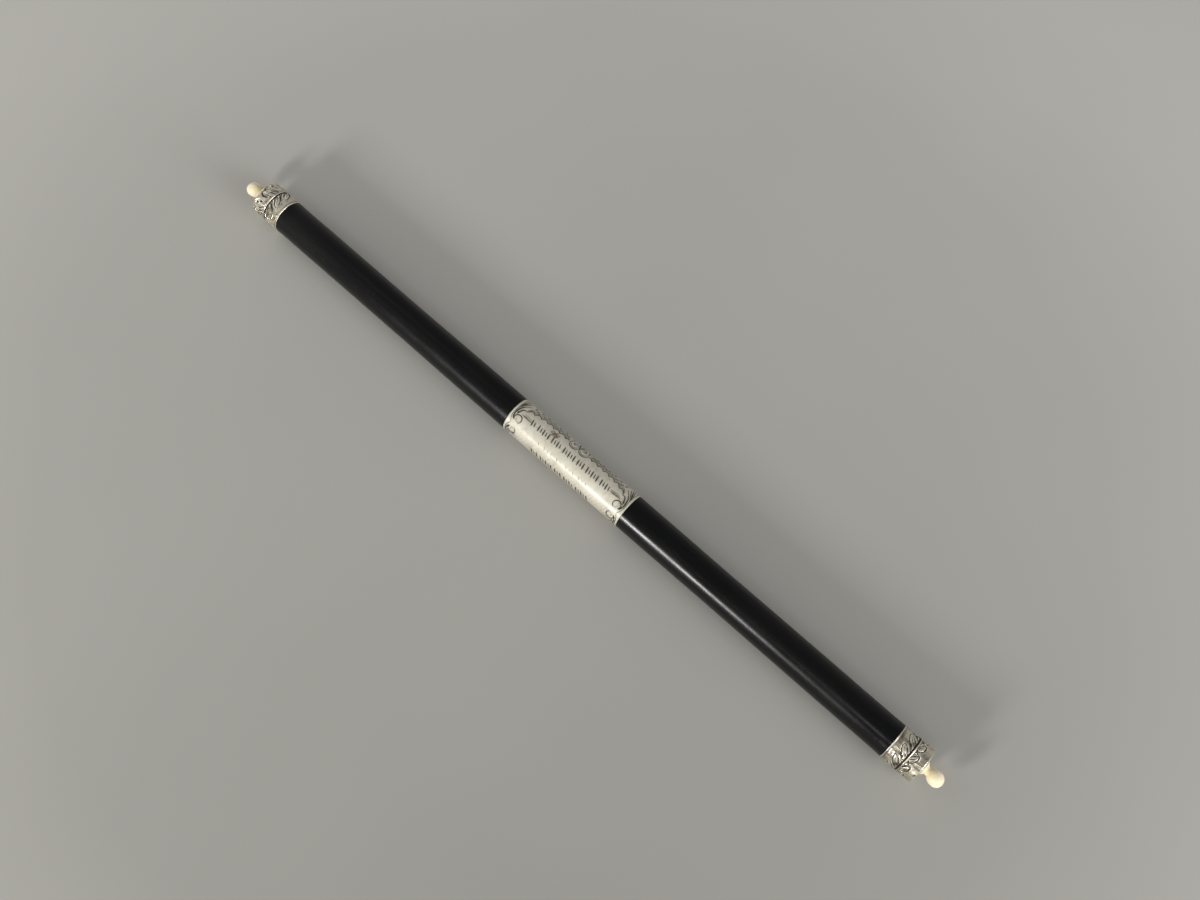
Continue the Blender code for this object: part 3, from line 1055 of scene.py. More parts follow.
    def corner(self) -> list[Stroke]:
        """Plumes between the border, the volute and the sleeve's end.

        Returns:
            Their strokes, with the line along the rim.
        """
        points, width, depth = FIRST_PLUME
        runs = [([self.cusps()[-1], *self.inwards(points)], width, depth)]
        runs += [(self.inwards(points), width, depth) for points, width, depth in PLUMES]
        strokes = [Stroke.swelling(*curve_through(p), w, THIN, d) for p, w, d in runs]
        rim = np.linspace(12.0, 30.0, 12)
        line = np.full(len(rim), self.end - self.rim_inset)
        return [*strokes, Stroke.swelling(line, rim, 0.16, 0.14, 0.8)]

    def inwards(self, points: tuple[Pair, ...]) -> list[Pair]:
        """Points whose first number was a distance in from the sleeve's end."""
        return [(self.end - inset, across) for inset, across in points]

    def strokes(self) -> list[Stroke]:
        """All the cuts of the frame.

        Returns:
            The strokes of one quarter and of its three mirror images.
        """
        parts = [self.border(*line) for line in BORDERS]
        parts += [self.sprigs(), self.outer_line(), self.crest()]
        parts += [self.volute(), self.corner()]
        flips = [(a, b) for a in (1.0, -1.0) for b in (1.0, -1.0)]
        return [s.mirrored(a, b) for part in parts for s in part for a, b in flips]


@dataclass(frozen=True)
class StrokeRow:
    """Row of plain slanting cuts in the place of the inscription.

    Attributes:
        across: Place of the row round the sleeve.
        start: Where the row begins.
        groups: Number of cuts in each group.
        height: Length of a bold cut.
        bold: Half the width of a bold cut.
        depth: Depth of the cuts.
        pitch: Distance from cut to cut.
        gap: Extra distance from group to group.
        lean: How far each end of a cut leans along the row.
        fine: Length and width of a fine cut, as shares of a bold one's.
    """

    across: float
    start: float
    groups: tuple[int, ...]
    height: float
    bold: float
    depth: float
    pitch: float = 1.5
    gap: float = 1.0
    lean: float = 0.3
    fine: Pair = (0.72, 0.75)

    def strokes(self) -> list[Stroke]:
        """Bold and fine cuts in turn, all leaning the same way.

        Returns:
            One stroke for each cut.
        """
        strokes = []
        x = self.start
        for group in self.groups:
            for k in range(group):
                length, weight = self.fine if k % 2 else (1.0, 1.0)
                half = self.height / 2 * length
                along = np.array([x - self.lean, x, x + self.lean])
                across = self.across + np.array([-half, 0.0, half])
                width = self.bold * weight
                strokes.append(Stroke.swelling(along, across, width, 0.6 * width, self.depth))
                x += self.pitch
            x += self.gap
        return strokes


# Plain strokes that stand for the three engraved rows
INSCRIPTION = (
    StrokeRow(across=-6.6, start=-25.2, groups=(2, 5, 4, 5, 3, 5, 4), height=3.0,
              bold=0.46, depth=1.0, pitch=1.6),
    StrokeRow(across=-0.6, start=-16.2, groups=(1, 3, 2, 3, 3), height=1.5,
              bold=0.2, depth=0.42, pitch=2.2, gap=1.5),
    StrokeRow(across=6.4, start=-18.0, groups=(3, 5, 3, 4, 5), height=3.2,
              bold=0.52, depth=1.0, pitch=1.66),
)


@dataclass(frozen=True)
class Blot:
    """Soft brown patch on the silver, used for real stained patches, for painted shade and for
    painted dark reflections.

    Attributes:
        along: Its middle along the baton.
        across: Its middle round the sleeve.
        length: Its half-length.
        breadth: Its half-breadth.
        strength: How dark it is at its middle.
    """

    along: float
    across: float
    length: float
    breadth: float
    strength: float

    def spread(self, x: Array, s: Array) -> Array:
        """Strength of the patch at each point, a ragged bell.

        The distance from the middle, in half-lengths and half-breadths, is
        shortened and lengthened by two waves that run across each other.

        Args:
            x: Places along the baton.
            s: Places round it, as arc lengths.

        Returns:
            The patch, from 0 to its strength.
        """
        dx = (x - self.along) / self.length
        ds = (s - self.across) / self.breadth
        ragged = 0.16 * np.sin(3.1 * x + 1.7 * s) + 0.13 * np.sin(4.3 * s - 2.2 * x)
        return self.strength * (1.0 - ease(np.hypot(dx, ds) + ragged - 0.35))


def blots(*rows: tuple[float, float, float, float, float]) -> tuple[Blot, ...]:
    """Stains from rows of their five numbers."""
    return tuple(Blot(*row) for row in rows)


# Stains of the sleeve and two long bands of painted shade: along the baton
# from its middle, and round the sleeve from the middle of the cartouche
SLEEVE_BLOTS = blots(
    (-13.2, -9.5, 2.6, 1.7, 0.95), (-31.4, 5.6, 2.9, 1.4, 0.35),
    (-18.8, 4.6, 1.6, 2.4, 0.2), (31.6, 5.9, 2.2, 1.2, 0.22),
    # (0.0, 8.4, ...) is painted shade along the whole lower front side
    (0.0, 8.4, 60.0, 5.4, 0.24), (30.5, 7.6, 4.0, 3.4, 0.16),
    (-30.5, 7.6, 4.0, 3.4, 0.16), (9.0, -15.5, 9.0, 1.8, 0.2),
    # (0.0, -18.0, ...) is brown patina on the far side, deepened into painted shade
    (0.0, -18.0, 60.0, 5.0, 0.26), (-34.2, -7.0, 1.5, 4.0, 0.4),
    (33.4, -6.0, 1.6, 3.6, 0.4), (28.0, -6.6, 3.4, 0.8, 0.5),
    (-28.6, -6.2, 2.8, 0.6, 0.34))
# Stains of the mounts, painted dark reflections and painted shade: distance
# from the joint ring, and arc from the top
FERRULE_BLOTS = {
    End.LEFT: blots(
        # (3.8, -7.0, ...) and (4.2, -7.5, ...) darken the left ferrule where its highlight falls
        (4.1, -9.9, 0.5, 0.9, 1.2), (1.8, -9.1, 1.0, 0.7, 1.0), (3.8, -7.0, 5.0, 2.6, 0.6),
        (6.7, -8.0, 0.5, 1.4, 1.0), (6.7, -5.2, 0.5, 0.6, 1.0), (0.9, -3.6, 1.0, 0.6, 0.9),
        (4.2, -7.5, 1.2, 1.1, 0.5)),
    End.RIGHT: blots(
        # The first two are painted dark reflections, bands across the right ferrule
        (4.2, -1.75, 4.2, 1.1, 0.64), (4.6, 4.9, 2.9, 0.7, 0.85), (1.0, 10.3, 1.1, 2.0, 0.7),
        # (4.0, 10.5, ...) is painted shade over the lower front side
        (5.5, 8.7, 1.8, 0.9, 0.6), (6.7, -2.4, 0.5, 7.0, 0.42), (4.0, 10.5, 9.0, 4.0, 0.22),
        # (6.2, 6.8, ...) is painted shade that dims the highlight by the lip
        (6.2, 6.8, 1.7, 1.3, 0.36)),
}
CAP_BLOTS = {
    End.LEFT: blots(
        (3.3, -9.1, 0.9, 0.5, 1.0), (1.6, -4.2, 0.9, 0.9, 0.7), (6.2, 0.3, 0.7, 1.0, 0.9),
        (3.9, 5.1, 0.7, 0.7, 0.5)),
    End.RIGHT: blots(
        # The first two are painted dark reflections, bands across the right cap
        (5.5, -1.6, 2.1, 1.1, 0.74), (5.3, 4.8, 2.8, 0.6, 0.9), (7.1, 8.6, 0.5, 1.1, 1.0),
        # (4.0, 11.6, ...) is painted shade over the lower front side
        (1.2, -3.0, 1.4, 0.8, 0.6), (4.0, 11.6, 9.0, 4.0, 0.34), (2.4, 8.3, 1.7, 1.7, 0.7)),
}


@dataclass
class Sleeve:
    """Engraved silver sleeve at the middle of the rod.

    Attributes:
        lie: Where the baton lies.
        radius: Outer radius.
        wall: Thickness of the silver.
        facing: Angle that the cartouche faces, in degrees from the top.
        deepest: Depth of a full cut.
        rim: Width of the plain raised rim at each end.
        rim_round: Rounding of the rim's edge.
        rim_rise: Height of the rim over the engraved face.
        rim_slope: Length of the slope from the rim to that face.
        waver: Height of the slight unevenness of the face.
        row_count: Number of rows along the outer face.
        crowding: Angle in radians, whose sine crowds the rows at the ends.
        crowded: Share of that crowding.
        front_columns: Number of columns where there is engraving.
        back_columns: Number of columns of half the plain back.
        front_reach: Arc length from the cartouche's middle to the plain back.
    """

    lie: Lie
    radius: float = 9.2
    wall: float = 0.6
    facing: float = 43.5
    deepest: float = 0.15
    rim: float = 0.75
    rim_round: float = 0.22
    rim_rise: float = 0.05
    rim_slope: float = 0.3
    waver: float = 0.012
    row_count: int = 372
    crowding: float = 1.25
    crowded: float = 0.35
    front_columns: int = 214
    back_columns: int = 26
    front_reach: float = 18.8

    def rows(self, end: float) -> Array:
        """Places of the rows, closer together towards the two ends.

        Args:
            end: Half the sleeve's length.

        Returns:
            A sine of the way mixed with even steps.
        """
        way = np.linspace(-1.0, 1.0, self.row_count)
        crowd = end * np.sin(way * self.crowding) / math.sin(self.crowding)
        even = np.linspace(-end, end, self.row_count)
        return self.crowded * crowd + (1.0 - self.crowded) * even

    def columns(self) -> Array:
        """Arc places of the columns: close together where there is engraving.

        Returns:
            Arc lengths from the cartouche's middle, rising.
        """
        half = math.pi * self.radius
        front = np.linspace(-self.front_reach, self.front_reach, self.front_columns)
        back = np.linspace(self.front_reach, half, self.back_columns)[1:]
        return np.concatenate([-back[:0:-1], front, back])

    def flourishes(self) -> list[Stroke]:
        """Faint line under the first row, with a flourish at each side of it.

        Returns:
            Their strokes.
        """
        line = np.linspace(-31.0, 24.6, 40)
        strokes = [Stroke.swelling(line, np.full(len(line), -6.1), 0.16, 0.12, 0.22)]
        for side in (-1.0, 1.0):
            x = side * np.linspace(25.6, 31.6, 14)
            wave = 0.16 * np.sin((np.abs(x) - 25.6) * 1.2)
            strokes.append(Stroke.swelling(x, -6.4 + wave, 0.36, 0.1, 0.5))
            strokes.append(Stroke.swelling(0.98 * x, -7.3 + wave, 0.5, 0.1, 0.22))
        return strokes

    def cuts(self, x: Array, s: Array) -> Array:
        """Field of all the engraving.

        Args:
            x: Place of each row.
            s: Arc place of each column.

        Returns:
            Depth of the cuts at each point, from 0 to 1.
        """
        cuts = np.zeros((len(x), len(s)))
        border = Cartouche(end=float(x[-1])).strokes()
        letters = [stroke for row in INSCRIPTION for stroke in row.strokes()]
        for stroke in [*border, *letters, *self.flourishes()]:
            stroke.carve(cuts, x, s)
        return cuts

    def grid(self) -> Grid:
        """Outer face with its cuts, then the two ends and the bore.

        Returns:
            The closed grid with what the silver reads.
        """
        end = Span.of("sleeve").far
        x, s = self.rows(end), self.columns()
        cuts = self.cuts(x, s)
        edge = end - np.abs(x)
        shoulder = self.rim_round * (1.0 - np.sqrt(ease(edge / self.rim_round)))
        sunk = self.rim_rise * ease((edge - self.rim) / self.rim_slope)
        waver = self.waver * np.sin(x / 7.3)[:, None] * np.cos(s / 4.1)[None, :]
        radius = self.radius - (shoulder + sunk)[:, None] - self.deepest * cuts + waver
        degrees = self.facing + np.degrees(s / self.radius)
        outer = self.lie.points(x[:, None], radius, degrees[None, :])
        bore = np.full((2, 1), self.radius - self.wall)
        inner = self.lie.points(np.array([[end], [-end]]), bore, degrees[None, :])
        clean = np.zeros_like(inner[..., 0])
        grime = np.clip(1.75 * cuts + 0.3 * soften(cuts, 3), 0.0, 1.0)
        # Stained patches and two bands of painted shade
        stain_and_shade = sum(blot.spread(x[:, None], s[None, :]) for blot in SLEEVE_BLOTS)
        layers = {
            "tarnish": np.concatenate([grime, clean]),
            "stain_and_shade": np.concatenate([stain_and_shade, clean]),
            "burnish": np.zeros((1, 1)),
        }
        return Grid(np.concatenate([outer, inner]), Closing.LOOP, layers)


@dataclass
class Relief:
    """Chased surface of a mount, as fields of rows by columns.

    Attributes:
        height: Height over the open surface, in millimetres.
        tarnish: Tarnish from 0 to 1.
        burnish: Brightness from wear, from 0 to 1.
    """

    height: Array
    tarnish: Array
    burnish: Array

    def carve(self, cuts: Array, depth: float) -> None:
        """Cut into the surface and blacken the cuts.

        Args:
            cuts: Field of the cuts, from 0 to 1.
            depth: Depth of a full cut.
        """
        black = np.clip(BLACKENING * cuts, 0.0, 1.0)
        self.height = self.height - depth * cuts
        self.tarnish = np.maximum(self.tarnish, black)
        self.burnish = self.burnish * (1.0 - black)


@dataclass(frozen=True)
class Leaf:
    """Lens-shaped leaf with a chased outline and burnished edges beyond it.

    The way u along the leaf runs from 0 at its tip to 1 at its base.  Its
    half-width is half sin(pi u^belly)^fullness, and its middle line bows
    sideways by 4 bow u (1 - u).

    Attributes:
        tip: Distance of the tip from the joint ring, and its angle.
        base: Distance of the base from the joint ring, and its angle.
        half: Greatest half-width.
        rise: Height over the open surface, below zero for a hollow.
        bow: Sideways bow of the middle line.
        outline_at: Distance of the chased outline from the leaf's edge.
        outline: Width of the outline.
        outline_depth: Depth of the outline.
        rim_at: Distance of the burnished rim from the leaf's edge.
        rim: Width of the rim.
        rim_rise: Height of the rim.
        belly: Power that moves the widest place, below 1 towards the tip.
        fullness: Power that fills the leaf's ends, fuller the smaller it is.
        shoulder: Share of the half-width over which the leaf's edge is rounded.
    """

    tip: Pair
    base: Pair
    half: float
    rise: float = 0.17
    bow: float = 0.0
    outline_at: float = 0.14
    outline: float = 0.24
    outline_depth: float = 0.15
    rim_at: float = 0.62
    rim: float = 0.22
    rim_rise: float = 0.08
    belly: float = 0.87
    fullness: float = 0.8
    shoulder: float = 0.45

    def outside(self, reach: Array, degrees: Array, pitch: float, degree: float) -> Array:
        """Distance of points outside the nearest copy of the leaf.

        Args:
            reach: Distance of each row from the joint ring.
            degrees: Angle of each column.
            pitch: Angle from one copy to the next.
            degree: Length of a degree of arc, in millimetres.

        Returns:
            Distance outside the leaf's edge, below zero within it.
        """
        run = self.base[0] - self.tip[0]
        arc = (self.base[1] - self.tip[1]) * degree
        size = math.hypot(run, arc)
        way = (reach - self.tip[0]) / run
        middle = self.tip[1] + (self.base[1] - self.tip[1]) * way
        beside = nearest_turn(degrees - middle, pitch) * degree
        u = way + beside * arc / size**2
        off = beside * run / size - 4.0 * self.bow * u * (1.0 - u)
        bulge = np.sin(math.pi * np.clip(u, 0.0, 1.0) ** self.belly)
        half = self.half * np.clip(bulge, 0.0, 1.0) ** self.fullness
        past = np.maximum(-u, u - 1.0) * size
        return np.where(past > 0.0, np.hypot(off, past), np.abs(off) - half)

    def chase(self, relief: Relief, reach: Array, degrees: Array,
              pitch: float, degree: float) -> None:
        """Chase the leaf and its copies round the band into a relief.

        Within the outline the surface becomes the leaf's, a dome whose height
        is rise times the root of the depth within.  Beyond it lie a groove and
        a burnished rim, each a bell curve of the distance.

        Args:
            relief: The relief, changed in place.
            reach: Distance of each row from the joint ring.
            degrees: Angle of each column.
            pitch: Angle from one copy to the next.
            degree: Length of a degree of arc, in millimetres.
        """
        outside = self.outside(reach, degrees, pitch, degree)
        body = np.sqrt(np.clip(-outside / (self.shoulder * self.half), 0.0, 1.0))
        groove = bell(outside - self.outline_at, self.outline)
        rim = bell(outside - self.rim_at, self.rim)
        within = outside < 0.0
        leaf = self.rise * body - self.outline_depth * groove
        ground = relief.height * (1.0 - rim) - self.outline_depth * groove + self.rim_rise * rim
        relief.height = np.where(within, leaf, ground)
        edge = groove * (body < 0.9)
        around = np.maximum(relief.tarnish * (1.0 - rim), groove)
        relief.tarnish = np.where(within, edge, around)
        shine = np.maximum(relief.burnish, rim) * (1.0 - groove)
        relief.burnish = np.where(within, 0.85 * body, shine)


@dataclass(frozen=True)
class Line:
    """Chased line of a garland, swelling at its middle.

    Attributes:
        path: Points, each a distance from the joint ring and an angle.
        half: Half the width at the middle.
        depth: Depth of the cut, from 0 to 1.
    """

    path: tuple[Pair, ...]
    half: float
    depth: float = 1.0

    def stroke(self) -> Stroke:
        """The line as a cut of the graver, its places round the mount in degrees."""
        return Stroke.swelling(*curve_through(list(self.path)), self.half, THIN, self.depth)


@dataclass(frozen=True)
class Garland:
    """Leaves and cuts that repeat round a mount, over a sunken dark ground.

    Attributes:
        count: Repeats round the mount.
        turn: Angle that all of it is turned by, in degrees.
        leaves: The leaves of one repeat, those underneath first.
        lines: The chased lines of one repeat.
        dots: Its punch marks: distance from the joint ring, angle, radius.
        ground: How far the sunken ground reaches from the joint ring.
        fade: Length over which it rises to the open surface.
        sink: Depth of the ground.
        grain: Height of the matting on the ground.
        matting: Repeat of the matting along the baton, and round it in degrees.
    """

    count: int
    turn: float
    leaves: tuple[Leaf, ...]
    lines: tuple[Line, ...]
    dots: tuple[Triple, ...] = ()
    ground: float = 2.6
    fade: float = 1.2
    sink: float = 0.1
    grain: float = 0.015
    matting: Pair = (0.5, 3.6)

    def cuts(self, reach: Array, degrees: Array, degree: float) -> Array:
        """Field of the chased lines and punch marks, all round the mount.

        Args:
            reach: Distance of each row from the joint ring, rising.
            degrees: Angle of each column, rising.
            degree: Length of a degree of arc, in millimetres.

        Returns:
            Depth of the cuts at each point, from 0 to 1.
        """
        cuts = np.zeros((len(reach), len(degrees)))
        strokes = [line.stroke() for line in self.lines]
        strokes += [Stroke.dot(*dot) for dot in self.dots]
        for stroke in strokes:
            for k in range(self.count):
                turn = nearest_turn(self.turn + k * 360.0 / self.count, 360.0)
                for copy in (turn - 360.0, turn, turn + 360.0):
                    path = stroke.path * (1.0, degree, 1.0) + (0.0, copy * degree, 0.0)
                    Stroke(path, stroke.depth).carve(cuts, reach, degrees * degree)
        return cuts

    def relief(self, reach: Array, degrees: Array, degree: float) -> Relief:
        """Chase the garland.

        Args:
            reach: Distance of each row from the joint ring, rising.
            degrees: Angle of each column, rising.
            degree: Length of a degree of arc, in millimetres.

        Returns:
            The relief.
        """
        rows, columns = reach[:, None], degrees[None, :] - self.turn
        sunk = 1.0 - ease((rows - self.ground + self.fade) / self.fade)
        along, round_it = self.matting
        dots = np.sin(2 * math.pi * rows / along) * np.sin(2 * math.pi * columns / round_it)
        height = -sunk * (self.sink + self.grain * dots)
        relief = Relief(height, sunk * (0.62 + 0.22 * dots), np.zeros_like(height))
        for leaf in self.leaves:
            leaf.chase(relief, rows, columns, 360.0 / self.count, degree)
        relief.carve(self.cuts(reach, degrees, degree), CHASE_DEPTH)
        return relief


def laurel(turn: float) -> Garland:
    """Garland of the ferrules: nine leaves on stems that spring from the ring.

    Args:
        turn: Angle that it is turned by.

    Returns:
        The garland.
    """
    leaves = (
        Leaf((2.3, -5.0), (0.0, 18.0), 0.55, bow=0.12, rise=0.15),
        Leaf((2.6, 27.0), (-0.4, 49.0), 0.3, rise=0.16),
        Leaf((4.3, 0.0), (0.1, 40.0), 1.3, bow=0.22, rise=0.22, rim_rise=0.1),
    )
    lines = (
        Line(((4.6, 2.0), (4.5, 9.0), (3.9, 17.0), (3.1, 25.0), (2.2, 33.0), (1.3, 39.0),
              (0.4, 45.0)), 0.32),
        Line(((3.6, 7.0), (2.7, 15.0), (1.8, 25.0), (1.1, 34.0)), 0.22, 0.75),
        Line(((2.6, 5.0), (1.6, 12.0), (0.8, 21.0)), 0.26, 0.85),
        Line(((4.2, -13.0), (2.7, -11.5), (1.5, -8.0), (0.8, -2.0)), 0.34),
        Line(((3.6, -8.5), (2.4, -6.5), (1.5, -3.0)), 0.2, 0.8),
        Line(((1.6, -20.0), (0.9, -15.0), (0.4, -11.0)), 0.5, 0.8),
    )
    return Garland(9, turn, leaves, lines)


def cap_leaves(turn: float) -> Garland:
    """Garland of the right end cap: nine broader leaves that bow outwards.

    Args:
        turn: Angle that it is turned by.

    Returns:
        The garland.
    """
    leaves = (
        Leaf((2.0, -8.0), (0.1, 10.0), 0.42, rise=0.14),
        Leaf((3.6, -1.0), (0.3, 32.0), 1.3, bow=-0.32, rise=0.22, rim_rise=0.1),
    )
    lines = (
        Line(((2.8, -4.0), (3.5, 0.0), (3.8, 8.0), (3.6, 16.0), (3.0, 24.0), (2.2, 30.0)), 0.36),
        Line(((0.5, -5.0), (1.3, -6.0), (2.2, -4.5), (2.9, -2.0)), 0.24, 0.9),
        Line(((0.5, 8.0), (1.2, 3.0), (1.8, 0.0)), 0.28, 0.9),
        Line(((0.6, 16.0), (1.5, 9.0), (2.5, 4.0)), 0.3),
        Line(((0.9, 24.0), (1.9, 16.0), (2.9, 9.5)), 0.3),
        Line(((1.5, 28.0), (2.3, 21.5), (3.0, 16.0)), 0.22, 0.8),
        Line(((1.0, 26.0), (1.2, 29.0), (1.7, 31.5)), 0.5, 0.9),
        Line(((0.6, -14.0), (1.2, -12.0), (1.8, -10.0)), 0.45, 0.8),
    )
    return Garland(9, turn, leaves, lines)


def curled_leaves(turn: float) -> Garland:
    """Garland of the left end cap: five bold curled leaves with punched buds.

    Args:
        turn: Angle that it is turned by.

    Returns:
        The garland.
    """
    leaves = (
        Leaf((6.4, -3.0), (1.1, 8.0), 1.7, rise=0.2, outline_depth=0.1, outline=0.1),
        Leaf((7.1, -47.0), (1.0, -38.0), 1.4, rise=0.24, outline_depth=0.05, outline=0.1),
    )
    lines = (
        Line(((6.7, 5.0), (6.3, -2.0), (6.9, -9.0)), 0.42),
        Line(((6.9, -9.0), (6.0, -13.5), (4.6, -17.0), (3.2, -14.0), (2.1, -10.5)), 0.72),
        Line(((0.9, 15.0), (2.2, 11.0), (3.2, 5.0), (3.7, -3.0)), 0.36),
        Line(((5.0, 8.0), (4.6, 2.0), (5.0, -4.0)), 0.2, 0.6),
        Line(((4.2, 30.0), (3.7, 37.0), (2.9, 44.0)), 0.3, 0.6),
        Line(((4.2, -57.0), (2.8, -54.0), (1.2, -45.0)), 0.42),
        Line(((3.2, -68.0), (1.9, -62.0), (0.7, -55.0)), 0.36, 0.9),
        Line(((2.4, -41.0), (1.4, -44.0), (0.7, -49.0)), 0.3, 0.7),
        Line(((3.4, -80.0), (2.2, -75.0), (0.8, -70.0)), 0.3, 0.7),
    )
    dots = (
        (3.85, -35.0, 0.85), (5.5, -43.5, 0.9), (1.6, -4.0, 0.5), (3.6, -5.5, 0.36),
        (1.7, -26.0, 0.45), (6.4, 4.0, 0.45),
    )
    return Garland(5, turn, leaves, lines, dots, ground=1.6)


@dataclass
class Band:
    """What the ferrules and the end caps share.

    Attributes:
        lie: Where the baton lies.
        end: End of the baton.
        garland: Its chased ornament.
        blots: Stained patches, painted shade and painted dark reflections, by distance from the
            joint ring and arc length round the band.
        radius: Radius of the open surface.
        wall: Thickness of the silver.
        lip: Width of the plain lip at the open edge.
        lip_round: Rounding of the lip's edge.
        lip_fade: Length over which the lip's brightness fades.
        line: Width of the dark line beside the lip.
        line_at: Distance of that line from the lip.
        line_depth: Depth of that line.
        crown: Height of the lip's rounding.
        grime: Tarnish in the line beside the lip, from 0 to 1.
        set_in: Length over which the garland sets in beside the lip.
        ripple: Height of the narrow ripples round the band.
        hollow: Height of the broad hollows beaten into it.
        rubbed: Angle round which rubbing has cleaned the cuts, or nothing.
        rubbed_width: Width of that place, in degrees.
        rubbed_share: Share of the tarnish that is gone there.
        step: Distance from row to row.
        columns: Columns round the band.
    """

    lie: Lie
    end: End
    garland: Garland
    blots: tuple[Blot, ...]
    radius: float = 9.1
    wall: float = 0.6
    lip: float = 0.52
    lip_round: float = 0.14
    lip_fade: float = 0.25
    line: float = 0.33
    line_at: float = 0.42
    line_depth: float = 0.13
    crown: float = 0.07
    grime: float = 0.6
    set_in: float = 0.35
    ripple: float = 0.03
    hollow: float = 0.012
    rubbed: float | None = None
    rubbed_width: float = 30.0
    rubbed_share: float = 0.6
    step: float = 0.075
    columns: int = 640

    @property
    def degrees(self) -> Array:
        """Angles of the columns, one of them at the very bottom."""
        return 360.0 * np.arange(self.columns) / self.columns - 180.0

    def rows(self, length: float) -> Array:
        """Distances of the rows over a length, evenly spread."""
        return np.linspace(0.0, length, round(length / self.step) + 1)

    def rounded(self, depth: Array) -> Array:
        """Height of an edge that is rounded off, below zero near it."""
        return self.lip_round * (np.sqrt(ease(depth / self.lip_round)) - 1.0)

    def unevenness(self, reach: Array, lip_depth: Array) -> Array:
        """Ripples and hollows of the hammered silver, none on the lip.

        The ripples are a sine of the angle whose phase wavers, and the hollows
        are two sines that run across each other.

        Args:
            reach: Distance of each row from the joint ring.
            lip_depth: Distance of each row from the edge that has the lip.

        Returns:
            Height at each point.
        """
        turn, along = np.radians(self.degrees)[None, :], reach[:, None]
        ripples = np.sin(27.0 * turn + 2.0 * np.sin(4.0 * turn) + 0.5 * along)
        hollows = np.sin(1.9 * along + 9.0 * turn) + np.sin(11.0 * turn - 1.3 * along + 2.0)
        height = self.ripple * ripples + self.hollow * hollows
        return height * ease((lip_depth - 1.0)[:, None])

    def chased(self, reach: Array, lip_depth: Array, margin: Array) -> Relief:
        """Garland with the lip and its dark line.

        Args:
            reach: Distance of each row from the joint ring, rising.
            lip_depth: Distance of each row from the edge that has the lip.
            margin: How much of the garland each row keeps, from 0 to 1.

        Returns:
            The relief of the band.
        """
        relief = self.garland.relief(reach, self.degrees, math.radians(self.radius))
        keep = (margin * ease((lip_depth - self.lip - 0.1) / self.set_in))[:, None]
        crown = self.crown * np.sin(math.pi * np.clip(lip_depth / self.lip, 0.0, 1.0))
        line = bell(lip_depth - self.lip - self.line_at, self.line)
        profile = self.rounded(lip_depth) + crown - self.line_depth * line
        waver = self.unevenness(reach, lip_depth)
        relief.height = relief.height * keep + profile[:, None] + waver
        if self.rubbed is not None:
            away = nearest_turn(self.degrees - self.rubbed, 360.0)
            keep = keep * (1.0 - self.rubbed_share * bell(away, self.rubbed_width)[None, :])
        relief.tarnish = np.maximum(relief.tarnish * keep, self.grime * line[:, None])
        on_lip = 1.0 - ease((lip_depth - self.lip + self.lip_fade) / self.lip_fade)
        relief.burnish = np.maximum(relief.burnish * keep, on_lip[:, None])
        return relief

    def stains_and_shade(self, reach: Array) -> Array:
        """Stained patches, painted shade and painted dark reflections of the chased face.

        Args:
            reach: Distance of each row from the joint ring.

        Returns:
            Their strength at each point, from 0 to 1.
        """
        arcs = self.degrees * math.radians(self.radius)
        spread = sum(blot.spread(reach[:, None], arcs[None, :]) for blot in self.blots)
        return np.clip(spread, 0.0, 1.0)

    def layers(self, parts: list[tuple[Array, ...] | int]) -> dict[str, Array]:
        """Tarnish, burnish with the painted edge highlight, and stained patches with painted
        shade, of all the rows of a grid.

        Args:
            parts: The three of each group of rows, or the number of clean ones.

        Returns:
            The layers that the silver reads.
        """
        named = {}
        for k, name in enumerate(("tarnish", "burnish", "stain_and_shade")):
            rows = [np.zeros((part, 1)) if isinstance(part, int) else part[k] for part in parts]
            wide = [np.broadcast_to(row, (len(row), self.columns)) for row in rows]
            named[name] = np.concatenate(wide)
        return named


@dataclass
class Ferrule(Band):
    """Silver ferrule: a lip at the wood, laurel leaves that start at the ring."""

    def grid(self) -> Grid:
        """Outer face with its garland, then the two ends and the bore.

        Returns:
            The closed grid with what the silver reads.
        """
        span = Span.of(f"ferrule_{self.end.value}")
        reach = self.rows(span.far - span.near)
        relief = self.chased(reach, reach[-1] - reach, ease(reach / 0.3))
        seam = 0.9 * bell(reach, 0.24)[:, None]
        relief.tarnish = np.maximum(relief.tarnish, seam)
        degrees = self.degrees[None, :]
        radius = self.radius + relief.height + self.rounded(reach)[:, None]
        outer = self.lie.points((span.far - reach)[:, None], radius, degrees)[::-1]
        bore = np.full((2, 1), self.radius - self.wall)
        inner = self.lie.points(np.array([[span.far], [span.near]]), bore, degrees)
        worn = (relief.tarnish[::-1], relief.burnish[::-1], self.stains_and_shade(reach)[::-1])
        layers = self.layers([worn, len(inner)])
        return Grid(np.concatenate([outer, inner]), Closing.LOOP, layers)


